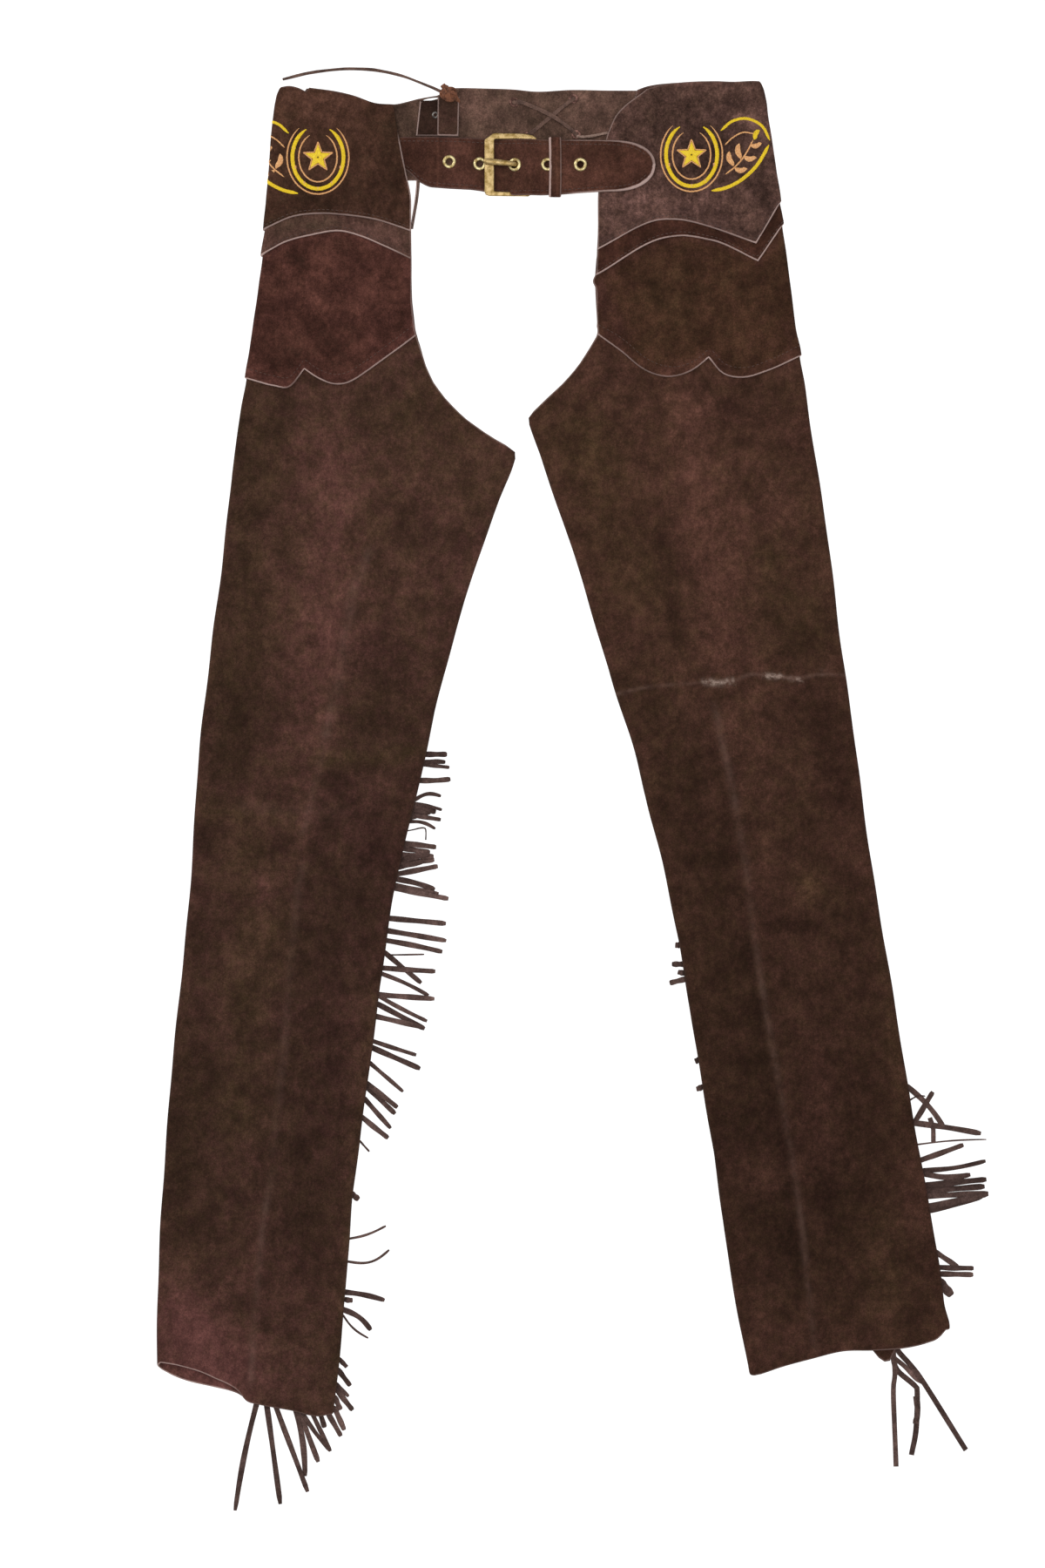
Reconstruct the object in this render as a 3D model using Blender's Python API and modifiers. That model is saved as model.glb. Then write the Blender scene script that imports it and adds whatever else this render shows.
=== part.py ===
"""Suede chaps laid flat on their back: two leg tubes with open hips, lapped overlays, a laced
back yoke, a buckled front belt and a comb of fringe under each lower leg.

All sizes are in millimetres and are scaled once, when a mesh is made. X runs across the
chaps, Y from hem to waist and Z up from the surface. "left" and "right" are as laid, seen
from above.
"""

import math
import random
from collections import namedtuple

import bmesh
import bpy
import numpy as np
from mathutils import Matrix, Vector

MM = 0.001

# Leather
SUEDE = 1.3
SEAM_GAP = 0.3
LAP_STEP = SUEDE + SEAM_GAP
LAP_WIDTH = 4.8
LAP_RAMP = 3.6
LAP_MARGIN = 1.5

# Legs, folded flat
FOLD_HEIGHT = 6.4
PANEL_HEIGHT = 5.0
FOLD_EASE = 20.0
FOLD_TURN = 30
EDGE_STRIP = 0.9
BACK_FRACTIONS = (0.08, 0.2, 0.36, 0.54, 0.72, 0.88)
UPPER_LEG_SHARES = (0.3, 0.62)
HEM_SHARE = 0.5

# Rows of each overlay, as shares of its height and as named marks
HIP_SHARES = (0, 0.03, 0.1, 0.19, 0.38, 0.68, "ramp", "lap", 1)
BAND_SHARES = (0, "tuck", "ramp", "lap", 1)
THIGH_SHARES = (0, "tuck", "untuck", 0.4, 0.7, "ramp", "lap", 1)

# Fringe
STRAND_WIDTH = 3.0
STRAND_TIP_WIDTH = 2.2
STRAND_THICKNESS = 1.4
STRAND_ROOT_HALF = 2.4
STRAND_BEND_AT = 0.55
STRAND_BEND = 0.4
STRAND_LEAN_PLAY = 0.5
STRAND_REACH_PLAY = (-5.0, 3.0)
STEEPEST_LEAN_COSINE = 0.1
STRIP_HALF = 4.0
STRIP_FOOT_HALF = 2.0
STRIP_TOP = 38.0
FRINGE_FLOOR_GAP = 0.3
FRINGE_LIFT = 2.0
LIFT_START = 78.0
LIFT_FULL = 48.0
LIFT_BLEND = 0.14

# Belt and buckle
BELT_WIDTH = 38.0
BELT_THICKNESS = 1.6
BELT_HOLE = 3.1
BELT_RIBS = (-1, -0.5, 0, 0.5, 1)
HOLE_CUTTER_LENGTH = 6.0
HOLE_STEPS = 14
EYELET_X = (-94.5, -71.3, -44.7, -19.3, 5.6)
EYELET_FLANGE = 5.2
EYELET_BARREL = 2.8
EYELET_BORE = 2.5
EYELET_STEPS = 10
EYELET_ROUNDING = 0.3
EYELET_CROWN = 0.5
BUCKLE_Y = 484.0
BUCKLE_STRAP_WIDTH = 37.0
BUCKLE_STRAP_Y = 482.4
BUCKLE_STRAP_Z = SUEDE + SEAM_GAP + 0.1
BUCKLE_STRAP_END = 50.0
BUCKLE_STRAP_STEP = (-6.0, -8.0)
PRONG_SLOT_Y = (482.0, 487.2)
PRONG_SLOT_TOP = 9.0
HEEL_X = -34.7
HEEL_Z = 4.6
HEEL_RADIUS = 1.15
EYE_RADIUS = 2.85
EYE_HOLE = 1.5
FRAME_THICKNESS = 2.4
FRAME_TILT = math.radians(2.0)
FRAME_EDGE = 0.5
FRAME_FRONT = -33.2
FRAME_BAR = 7.6
FRAME_BACK = 1.8
FRAME_ARM_TAPER = (-8.0, -2.2, 0.0)
FRAME_TOP = 24.3
FRAME_WINDOW_TOP = 20.4
FRAME_WINDOW_FOOT = -20.7
FRAME_FOOT = -24.0
FRAME_CORNER = 2.0
FRAME_SHOULDER = 1.0
HEEL_OVERHANG = 1.5
PRONG_Y = 484.7
PRONG_LOOP_RADIUS = 2.2
PRONG_LOOP_START = 150.0
PRONG_LOOP_TURN = -240.0
PRONG_LOOP_STEPS = 9
PRONG_WIRE = 0.7
KEEPER_X = (-18.0, -10.0)
KEEPER_Y = (463.2, 503.9)
KEEPER_TOP = 8.3
KEEPER_FOOT = SUEDE + SEAM_GAP + 0.2
KEEPER_RETURN = 3.6
KEEPER_CORNER = 1.0

# Lace
LACE_RADIUS = 1.0
LACE_HOLE = 1.6
LACE_ON_YOKE = SUEDE + SEAM_GAP + LACE_RADIUS

Section = namedtuple("Section", "y outer inner inner_back")
Edge = namedtuple("Edge", "fraction y")
Column = namedtuple("Column", "face place")
Ridge = namedtuple("Ridge", "fraction y_top y_bottom half_width height")
Strands = namedtuple("Strands", "edge y_from y_to pitch lean_from lean_to reach_from reach_to")
StrapPoint = namedtuple("StrapPoint", "x y z")
WirePoint = namedtuple("WirePoint", "x z radius")
Side = namedtuple(
    "Side",
    "name toward_inner sections fractions hip_top hip_edge band_edge thigh_edge"
    " rows hem_front hem_back ridges lift_from strip_foot strands",
)

LEFT_SECTIONS = (
    Section(547, -225, -140, -148),
    Section(531, -228, -137, -147),
    Section(504, -231, -133, -142),
    Section(481, -233, -129, -137),
    Section(461, -235, -126, -131),
    Section(439, -236, -124, -124),
    Section(381, -242, -123, -123),
    Section(358, -245, -121, -121),
    Section(345, -247, -117, -117),
    Section(331, -249, -113, -113),
    Section(318, -251, -107, -107),
    Section(305, -253, -97, -97),
    Section(291, -255, -83, -83),
    Section(278, -257, -65, -65),
    Section(265, -259, -43, -43),
    Section(251, -261, -47, -47),
    Section(211, -265, -63, -63),
    Section(171, -269, -77, -77),
    Section(131, -275, -89, -89),
    Section(91, -280, -100, -100),
    Section(51, -285, -109, -109),
    Section(11, -288, -117, -117),
    Section(-29, -290, -128, -128),
    Section(-69, -293, -137, -137),
    Section(-149, -301, -148, -148),
    Section(-229, -309, -159, -159),
    Section(-309, -315, -169, -169),
    Section(-389, -318, -175, -175),
    Section(-472, -319, -183, -183),
)

RIGHT_SECTIONS = (
    Section(549, 144, 63, 51),
    Section(540, 146, 54, 49),
    Section(532, 148, 42, 47),
    Section(523, 149, 33, 44),
    Section(507, 152, 26, 39),
    Section(485, 155, 21, 33),
    Section(461, 158, 19, 26),
    Section(439, 161, 19, 19),
    Section(399, 165, 17, 17),
    Section(355, 171, 19, 19),
    Section(345, 173, 13, 13),
    Section(331, 175, 4, 4),
    Section(318, 177, -7, -7),
    Section(305, 179, -21, -21),
    Section(291, 181, -35, -35),
    Section(278, 183, -31, -31),
    Section(238, 189, -17, -17),
    Section(198, 195, -3, -3),
    Section(158, 200, 10, 10),
    Section(118, 205, 21, 21),
    Section(78, 211, 33, 33),
    Section(38, 216, 47, 47),
    Section(-2, 221, 56, 56),
    Section(-42, 227, 67, 67),
    Section(-122, 240, 83, 83),
    Section(-202, 253, 96, 96),
    Section(-282, 267, 109, 109),
    Section(-362, 281, 120, 120),
    Section(-442, 289, 135, 135),
)

LEFT = Side(
    name="left",
    toward_inner=1,
    sections=LEFT_SECTIONS,
    fractions=(0.05, 0.11, 0.18, 0.235, 0.303, 0.37, 0.44, 0.5, 0.627, 0.763, 0.88),
    hip_top=(
        Edge(0, 540.7),
        Edge(0.05, 544.7),
        Edge(0.18, 543.4),
        Edge(0.235, 542.0),
        Edge(0.303, 544.0),
        Edge(0.5, 541.2),
        Edge(0.66, 538.0),
        Edge(0.84, 532.0),
        Edge(1, 530.7),
    ),
    hip_edge=(
        Edge(0, 436.0),
        Edge(0.16, 444.0),
        Edge(0.36, 446.7),
        Edge(0.5, 446.0),
        Edge(0.755, 442.0),
        Edge(1, 433.3),
    ),
    band_edge=(
        Edge(0, 416.7),
        Edge(0.125, 424.7),
        Edge(0.32, 430.0),
        Edge(0.5, 433.0),
        Edge(0.66, 428.7),
        Edge(0.81, 422.0),
        Edge(1, 412.0),
    ),
    thigh_edge=(
        Edge(0, 320.0),
        Edge(0.18, 314.0),
        Edge(0.235, 317.0),
        Edge(0.303, 328.0),
        Edge(0.37, 321.5),
        Edge(0.44, 317.0),
        Edge(0.5, 318.0),
        Edge(0.627, 327.3),
        Edge(0.763, 339.3),
        Edge(1, 354.0),
    ),
    rows=(278, 265, 251, 215, 165, 115, 78, 48, 5, -50, -110, -170, -230, -290, -350, -402),
    hem_front=(
        Edge(0, -430.7),
        Edge(0.235, -438.7),
        Edge(0.37, -447.3),
        Edge(0.44, -452.0),
        Edge(0.5, -460.5),
        Edge(0.763, -469.0),
        Edge(0.88, -472.0),
        Edge(1, -467.3),
    ),
    hem_back=(
        Edge(0, -435.3),
        Edge(0.15, -444.7),
        Edge(0.34, -448.7),
        Edge(0.5, -457.0),
        Edge(0.763, -468.0),
        Edge(1, -467.3),
    ),
    ridges=(Ridge(0.5, 190, -440, 0.07, 0.8),),
    lift_from=0.2,
    strip_foot=-448.0,
    strands=(
        Strands("right", 33, -95, 6.2, 2, 5, 98, 116),
        Strands("right", -101, -196, 6.6, 8, 44, 116, 116),
        Strands("right", -205, -322, 9.6, 49, 56, 108, 114),
        Strands("right", -331, -404, 8.6, 57, 64, 116, 118),
        Strands("right", -413, -443, 8.0, 68, 82, 116, 100),
        Strands("left", -443, -443, 8.0, 87, 87, 105, 105),
    ),
)

RIGHT = Side(
    name="right",
    toward_inner=-1,
    sections=RIGHT_SECTIONS,
    fractions=(0.05, 0.15, 0.24, 0.337, 0.414, 0.475, 0.55, 0.615, 0.7, 0.835, 0.92),
    hip_top=(
        Edge(0, 542.0),
        Edge(0.05, 547.3),
        Edge(0.24, 547.3),
        Edge(0.475, 548.7),
        Edge(0.7, 547.3),
        Edge(0.92, 546.0),
        Edge(1, 544.0),
    ),
    hip_edge=(
        Edge(0, 451.3),
        Edge(0.15, 424.7),
        Edge(0.414, 437.8),
        Edge(0.55, 442.0),
        Edge(0.7, 440.7),
        Edge(1, 419.3),
    ),
    band_edge=(
        Edge(0, 434.7),
        Edge(0.15, 410.7),
        Edge(0.337, 424.6),
        Edge(0.414, 427.3),
        Edge(0.475, 429.0),
        Edge(0.55, 429.8),
        Edge(0.7, 425.3),
        Edge(1, 399.3),
    ),
    thigh_edge=(
        Edge(0, 336.7),
        Edge(0.15, 326.0),
        Edge(0.24, 321.6),
        Edge(0.337, 326.7),
        Edge(0.414, 336.7),
        Edge(0.475, 326.0),
        Edge(0.55, 322.3),
        Edge(0.615, 324.0),
        Edge(0.7, 329.3),
        Edge(0.835, 341.3),
        Edge(1, 354.7),
    ),
    rows=(305, 291, 278, 240, 190, 140, 98, 88, 78, 48, 0, -60, -120, -180, -240, -300, -365),
    hem_front=(
        Edge(0, -406.0),
        Edge(0.08, -414.7),
        Edge(0.24, -420.8),
        Edge(0.337, -421.3),
        Edge(0.52, -423.7),
        Edge(0.7, -430.0),
        Edge(0.92, -440.0),
        Edge(1, -440.0),
    ),
    hem_back=(
        Edge(0, -408.0),
        Edge(0.15, -423.0),
        Edge(0.35, -434.0),
        Edge(0.5, -428.0),
        Edge(1, -440.0),
    ),
    ridges=(
        Ridge(0.615, 150, -420, 0.07, 0.8),
        Ridge(None, 98, 78, 10.0, 0.8),
    ),
    lift_from=None,
    strip_foot=-418.0,
    strands=(
        Strands("right", 33, -200, 10.0, 6, 10, 66, 70),
        Strands("right", -208, -255, 6.4, 10, 4, 118, 126),
        Strands("right", -262, -316, 6.4, 3, 0, 122, 118),
        Strands("right", -324, -346, 7.0, 2, 4, 82, 82),
        Strands("right", -354, -361, 7.0, 4, 6, 102, 100),
        Strands("right", -369, -392, 7.6, 12, 34, 80, 86),
        Strands("right", -400, -414, 7.0, 46, 70, 124, 96),
        Strands("left", 30, -80, 20.0, 8, 8, 58, 62),
        Strands("left", -92, -132, 6.4, 4, 10, 76, 80),
        Strands("left", -144, -180, 18.0, 8, 8, 58, 60),
        Strands("left", -190, -216, 6.4, 8, 11, 74, 77),
        Strands("left", -230, -400, 20.0, 10, 30, 58, 60),
    ),
)

BELT_PATH = (
    StrapPoint(-140.0, 486.6, 2.55),
    StrapPoint(-100.0, 486.2, 2.55),
    StrapPoint(-61.0, 484.8, 2.55),
    StrapPoint(-55.5, 484.8, 3.2),
    StrapPoint(-37.5, 484.5, 8.6),
    StrapPoint(-31.0, 484.4, 8.7),
    StrapPoint(-28.0, 484.3, 7.7),
    StrapPoint(-25.0, 484.3, 6.1),
    StrapPoint(-22.0, 484.2, 5.95),
    StrapPoint(0.0, 484.0, 5.95),
    StrapPoint(19.0, 483.9, 6.25),
    StrapPoint(41.0, 483.6, 6.25),
    StrapPoint(63.0, 483.3, 6.25),
)
BELT_TIP_START = 41.0
BELT_TIP_TURNS = (15, 30, 45, 60, 75, 84)

PRONG_ROUTE = (
    WirePoint(-40.0, 2.5, 0.7),
    WirePoint(-42.6, 3.3, 0.9),
    WirePoint(-44.0, 5.0, 1.1),
    WirePoint(-45.2, 7.2, 1.2),
    WirePoint(-47.2, 8.7, 1.2),
    WirePoint(-50.5, 9.2, 1.25),
    WirePoint(-56.0, 9.0, 1.25),
    WirePoint(-62.0, 8.6, 1.2),
    WirePoint(-66.5, 8.5, 1.1),
)

YOKE_TOP = (
    (-146.5, 530.5),
    (-127.0, 532.0),
    (-112.0, 537.0),
    (-99.0, 542.5),
    (-92.0, 544.5),
    (-65.0, 543.5),
    (-39.0, 541.5),
    (-12.0, 543.5),
    (21.0, 546.5),
    (48.5, 545.5),
)
YOKE_FOOT_Y = 473.0
YOKE_SEAM_GAP = 0.5
YOKE_LEFT_SEAM_Y = (YOKE_FOOT_Y, 504.0)
YOKE_RIGHT_SEAM_Y = (532.0, 507.0, YOKE_FOOT_Y)
LACE_HOLES = ((-44.2, 533.1), (0.7, 535.3), (3.3, 507.7), (-31.3, 510.5))
LACE_CROSSING = (-19.1, 519.8)
LACE_OVER_RISE = 2 * LACE_RADIUS + SEAM_GAP
LACE_OVER_EASE = 0.6
LACE_OVER_UPPER = (-12.0, 525.3)
LACE_OVER_LOWER = (-25.5, 514.8)
LACE_RUN = ((6.2, 507.6), (15.0, 508.6), (25.5, 509.2))
LACE_HOLE_STEPS = 10

TAB_X = (-117.7, -87.3)
TAB_Y = (506.7, 536.7)
KNOT_AT = (-95.0, 538.0, 6.5)
KNOT_HALF = (7.2, 6.0, 3.2)
KNOT_STRANDS = 3
KNOT_TWIST = 2
KNOT_GROOVE = 0.07
TAIL_ROUTE = (
    (-101.4, 540.3, 5.8),
    (-107.5, 543.4, 4.4),
    (-112.5, 545.8, 2.3),
    (-118.5, 548.4, 1.4),
    (-132.0, 553.3, 1.3),
    (-150.7, 557.3, 1.3),
    (-165.0, 558.3, 1.3),
    (-179.7, 558.0, 1.3),
    (-201.3, 555.3, 1.3),
    (-222.3, 550.3, 1.3),
)
TAIL_POINTS = 22
RUN_POINTS = 8

SUEDE_BROWN = (0.052, 0.026, 0.018)
SUEDE_DARK = (0.034, 0.017, 0.012)
LACE_BROWN = (0.080, 0.045, 0.030)
KNOT_TAN = (0.240, 0.080, 0.030)
ANTIQUE_BRASS = (0.480, 0.360, 0.140)


def smooth(value):
    value = min(max(value, 0.0), 1.0)
    return value * value * (3 - 2 * value)


def mix(start, end, share):
    return start + (end - start) * share


def read(table, key, column, value):
    """The value of one column of a table, between its rows."""
    rows = sorted((getattr(row, key), getattr(row, column)) for row in table)
    return float(np.interp(value, [row[0] for row in rows], [row[1] for row in rows]))


def edge_at(edge, fraction):
    return read(edge, "fraction", "y", fraction)


def make_material(name, colour, roughness, metallic=0.0):
    material = bpy.data.materials.new(name)
    material.use_nodes = True
    shader = material.node_tree.nodes["Principled BSDF"]
    shader.inputs["Base Color"].default_value = (*colour, 1.0)
    shader.inputs["Roughness"].default_value = roughness
    shader.inputs["Metallic"].default_value = metallic
    return material


def add_object(name, mesh, material, collection):
    mesh.materials.append(material)
    part = bpy.data.objects.new(name, mesh)
    collection.objects.link(part)
    return part


def grid_mesh(name, rows, closed_from=None, flipped=False):
    """An open surface through rows of points, whose ends meet from row closed_from on."""
    mesh_builder = bmesh.new()
    grid = []
    for index, row in enumerate(rows):
        vertices = [mesh_builder.verts.new(point * MM) for point in row[:-1]]
        if closed_from is not None and index >= closed_from:
            vertices.append(vertices[0])
        else:
            vertices.append(mesh_builder.verts.new(row[-1] * MM))
        grid.append(vertices)
    for upper, lower in zip(grid, grid[1:]):
        for column in range(len(upper) - 1):
            corners = [upper[column], upper[column + 1], lower[column + 1], lower[column]]
            mesh_builder.faces.new(corners[::-1] if flipped else corners)
    mesh = bpy.data.meshes.new(name)
    mesh_builder.to_mesh(mesh)
    mesh_builder.free()
    mesh.shade_smooth()
    return mesh


def thicken(part, thickness, offset=-1.0):
    wall = part.modifiers.new("Leather thickness", "SOLIDIFY")
    wall.thickness = thickness * MM
    wall.offset = offset
    wall.use_even_offset = True


def plate_mesh(name, outlines, thickness):
    """A flat plate about Z = 0, from its outer outline and the outlines of its holes."""
    curve = bpy.data.curves.new(name, "CURVE")
    curve.dimensions = "2D"
    curve.fill_mode = "BOTH"
    curve.extrude = thickness / 2 * MM
    for outline in outlines:
        spline = curve.splines.new("POLY")
        spline.points.add(len(outline) - 1)
        for point, (x, y) in zip(spline.points, outline):
            point.co = (x * MM, y * MM, 0.0, 1.0)
        spline.use_cyclic_u = True
    return mesh_of_curve(curve, name)


def mesh_of_curve(curve, name):
    """The curve's own solid as a mesh with its caps welded on."""
    helper = bpy.data.objects.new(name + " curve", curve)
    bpy.context.scene.collection.objects.link(helper)
    graph = bpy.context.evaluated_depsgraph_get()
    mesh = bpy.data.meshes.new_from_object(helper.evaluated_get(graph))
    bpy.data.objects.remove(helper)
    bpy.data.curves.remove(curve)
    mesh_builder = bmesh.new()
    mesh_builder.from_mesh(mesh)
    bmesh.ops.remove_doubles(mesh_builder, verts=mesh_builder.verts, dist=0.00001)
    mesh_builder.to_mesh(mesh)
    mesh_builder.free()
    mesh.name = name
    return mesh


def circle(centre, radius, steps, start=0.0, turn=360.0):
    """Points of an arc, from start through turn degrees; a full turn leaves out its last point."""
    count = steps if abs(turn) >= 360 else steps + 1
    angles = [math.radians(start + turn * step / steps) for step in range(count)]
    return [(centre[0] + radius * math.cos(a), centre[1] + radius * math.sin(a)) for a in angles]


def boolean(part, other, operation):
    change = part.modifiers.new(operation.title(), "BOOLEAN")
    change.operation = operation
    change.solver = "EXACT"
    change.object = other


def add_cutter(name, mesh, cutters):
    cutter = bpy.data.objects.new(name, mesh)
    cutter.hide_render = True
    cutter.display_type = "WIRE"
    cutters.objects.link(cutter)
    return cutter


def rod_mesh(name, radius, length, steps):
    mesh_builder = bmesh.new()
    bmesh.ops.create_cone(
        mesh_builder,
        cap_ends=True,
        segments=steps,
        radius1=radius * MM,
        radius2=radius * MM,
        depth=length * MM,
    )
    mesh = bpy.data.meshes.new(name)
    mesh_builder.to_mesh(mesh)
    mesh_builder.free()
    return mesh


def box_mesh(name, low, high):
    mesh_builder = bmesh.new()
    bmesh.ops.create_cube(mesh_builder, size=1.0)
    centre = (Vector(low) + Vector(high)) / 2
    size = Vector(high) - Vector(low)
    place = Matrix.Translation(centre * MM) @ Matrix.Diagonal((*(size * MM), 1.0))
    mesh_builder.transform(place)
    mesh = bpy.data.meshes.new(name)
    mesh_builder.to_mesh(mesh)
    mesh_builder.free()
    return mesh


def smooth_route(points, count):
    """Evenly spread points on a smooth curve through the given ones (Catmull-Rom)."""
    ends = [2 * points[0] - points[1], *points, 2 * points[-1] - points[-2]]
    fine = []
    for a, b, c, d in zip(ends, ends[1:], ends[2:], ends[3:]):
        for step in range(12):
            t = step / 12
            bend = 2 * a - 5 * b + 4 * c - d
            twist = 3 * b - a - 3 * c + d
            fine.append((2 * b + (c - a) * t + bend * t * t + twist * t * t * t) / 2)
    fine.append(points[-1])
    lengths = np.cumsum([0.0] + [(q - p).length for p, q in zip(fine, fine[1:])])
    targets = np.linspace(0.0, lengths[-1], count)
    return [
        Vector([float(np.interp(target, lengths, [p[axis] for p in fine])) for axis in range(3)])
        for target in targets
    ]


def add_tube(name, points, radii, material, collection, bevel_resolution=2):
    curve = bpy.data.curves.new(name, "CURVE")
    curve.dimensions = "3D"
    curve.bevel_depth = MM
    curve.bevel_resolution = bevel_resolution
    curve.use_fill_caps = True
    spline = curve.splines.new("POLY")
    spline.points.add(len(points) - 1)
    for point, place, radius in zip(spline.points, points, radii):
        point.co = (*(place * MM), 1.0)
        point.radius = radius
    curve.materials.append(material)
    tube = bpy.data.objects.new(name, curve)
    collection.objects.link(tube)
    return tube


def fringe_lift(side, fraction, y):
    """How far a leg is held up by the fringe that lies under it."""
    along = smooth((LIFT_START - y) / (LIFT_START - LIFT_FULL))
    if side.lift_from is None:
        return FRINGE_LIFT * along
    return FRINGE_LIFT * along * smooth((fraction - side.lift_from) / LIFT_BLEND)


def ridge_height(side, fraction, y):
    height = 0.0
    for ridge in side.ridges:
        if ridge.fraction is None:
            middle = (ridge.y_top + ridge.y_bottom) / 2
            height += ridge.height * smooth(1 - abs(y - middle) / ridge.half_width)
        elif ridge.y_bottom < y < ridge.y_top:
            height += ridge.height * smooth(1 - abs(fraction - ridge.fraction) / ridge.half_width)
    return height


def fraction_of(column):
    if column.face in ("front", "back"):
        return column.place
    return 0.0 if column.face == "outer_fold" else 1.0


def cloth_point(side, column, y, stand_out=0.0, tuck_in=0.0, closed=False):
    """A point of the outer surface: stand_out raises the front, tuck_in raises the back."""
    inward = side.toward_inner
    radius = FOLD_HEIGHT / 2
    fold_x = read(side.sections, "y", "outer", y) + inward * radius
    on_back = column.face in ("back", "inner_back")
    inner_x = read(side.sections, "y", "inner_back" if on_back else "inner", y)
    inner_end = inner_x - inward * radius if closed else inner_x
    lift = fringe_lift(side, fraction_of(column), y)
    if column.face == "outer_fold":
        turned = column.place / 180
        reach = radius + stand_out * (1 - turned) - tuck_in * turned
        angle = math.radians(column.place)
        x = fold_x - inward * reach * math.sin(angle)
        return Vector((x, y, lift + radius + reach * math.cos(angle)))
    if column.face in ("inner_front", "inner_back"):
        if closed:
            angle = math.radians(column.place)
            x = inner_end + inward * radius * math.sin(angle)
            return Vector((x, y, lift + radius + radius * math.cos(angle)))
        x = inner_x - inward * EDGE_STRIP * abs(90 - column.place) / FOLD_TURN
        z = tuck_in if on_back else PANEL_HEIGHT + stand_out
        return Vector((x, y, lift + z))
    x = mix(fold_x, inner_end, column.place)
    if on_back:
        return Vector((x, y, lift + tuck_in))
    sunk = 1 - math.exp(-abs(x - fold_x) / FOLD_EASE)
    if closed:
        sunk *= 1 - math.exp(-abs(x - inner_end) / FOLD_EASE)
    z = mix(FOLD_HEIGHT, PANEL_HEIGHT, sunk) + stand_out + ridge_height(side, column.place, y)
    return Vector((x, y, lift + z))


def wrap_columns(side, closed_leg):
    """Columns from the inner front edge, over the outer fold, to the inner back edge."""
    front = [Column("front", fraction) for fraction in reversed(side.fractions)]
    fold = [Column("outer_fold", turn) for turn in range(0, 181, FOLD_TURN)]
    back = [Column("back", fraction) for fraction in BACK_FRACTIONS]
    if not closed_leg:
        return [Column("front", 1.0), *front, *fold, *back, Column("back", 1.0)]
    start = [Column("inner_front", turn) for turn in range(90, -1, -FOLD_TURN)]
    end = [Column("inner_back", turn) for turn in range(180, 89, -FOLD_TURN)]
    return [*start, *front, *fold, *back, *end]


def lap_ramp(distance):
    """1 in a lap, easing to 0 beyond it."""
    return 1 - smooth((distance - LAP_WIDTH) / LAP_RAMP)


def leg_heights(side, column):
    fraction = fraction_of(column)
    top = edge_at(side.thigh_edge, fraction) + LAP_WIDTH - LAP_MARGIN
    upper = [top, top - LAP_WIDTH, top - LAP_WIDTH - LAP_RAMP]
    upper += [mix(upper[-1], side.rows[0], share) for share in UPPER_LEG_SHARES]
    back_shares = {"back": 1.0, "inner_back": 1.0, "outer_fold": column.place / 180}
    on_back = back_shares.get(column.face, 0.0)
    front_hem = edge_at(side.hem_front, fraction)
    back_hem = edge_at(side.hem_back, fraction)
    hem = mix(front_hem, back_hem, on_back)
    return [*upper, *side.rows, mix(side.rows[-1], hem, HEM_SHARE), hem]


def build_leg(side, material, collection):
    columns = wrap_columns(side, closed_leg=True)
    heights = [leg_heights(side, column) for column in columns]
    first_closed = len(heights[0]) - 2 - len(side.rows) + 1
    rows = []
    for index in range(len(heights[0])):
        row = []
        for column, column_heights in zip(columns, heights):
            y = column_heights[index]
            tuck = LAP_STEP * lap_ramp(column_heights[0] - y)
            closed = index >= first_closed
            row.append(cloth_point(side, column, y, tuck_in=tuck, closed=closed))
        rows.append(row)
    mesh = grid_mesh("leg_" + side.name, rows, first_closed, flipped=side.toward_inner < 0)
    thicken(add_object("leg_" + side.name, mesh, material, collection), SUEDE)


def build_overlay(name, side, top_edge, low_edge, shares, tucked, material, collection):
    """A panel wrapped over the outer fold, lapped over the next one along its lower edge."""
    rows = []
    columns = wrap_columns(side, closed_leg=False)
    for share in shares:
        row = []
        for column in columns:
            fraction = fraction_of(column)
            low = edge_at(low_edge, fraction)
            top = edge_at(top_edge, fraction) + (LAP_WIDTH - LAP_MARGIN if tucked else 0.0)
            marks = {"lap": low + LAP_WIDTH, "ramp": low + LAP_WIDTH + LAP_RAMP}
            marks["tuck"] = top - LAP_WIDTH
            marks["untuck"] = top - LAP_WIDTH - LAP_RAMP
            y = marks[share] if share in marks else mix(top, low, share)
            stand_out = LAP_STEP * lap_ramp(y - low)
            tuck = LAP_STEP * lap_ramp(top - y) if tucked else 0.0
            row.append(cloth_point(side, column, y, stand_out, tuck))
        rows.append(row)
    mesh = grid_mesh(name, rows, flipped=side.toward_inner < 0)
    thicken(add_object(name, mesh, material, collection), SUEDE)


def strand_outline(root, direction, reach, bend):
    """Both sides of one tapered strand, from its upper root round its tip to its lower root."""
    across = Vector((-direction.y, direction.x))
    if across.y < 0:
        across = -across
    middle = root + direction * reach * STRAND_BEND_AT + across * bend
    tip = root + direction * reach
    spread = min(STRAND_WIDTH / 2 / max(abs(direction.x), STEEPEST_LEAN_COSINE), STRAND_ROOT_HALF)
    half_middle = across * (STRAND_WIDTH + STRAND_TIP_WIDTH) / 4
    half_tip = across * STRAND_TIP_WIDTH / 2
    upper = [root + Vector((0, spread)), middle + half_middle, tip + half_tip]
    lower = [tip - half_tip, middle - half_middle, root - Vector((0, spread))]
    return upper + lower


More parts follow.
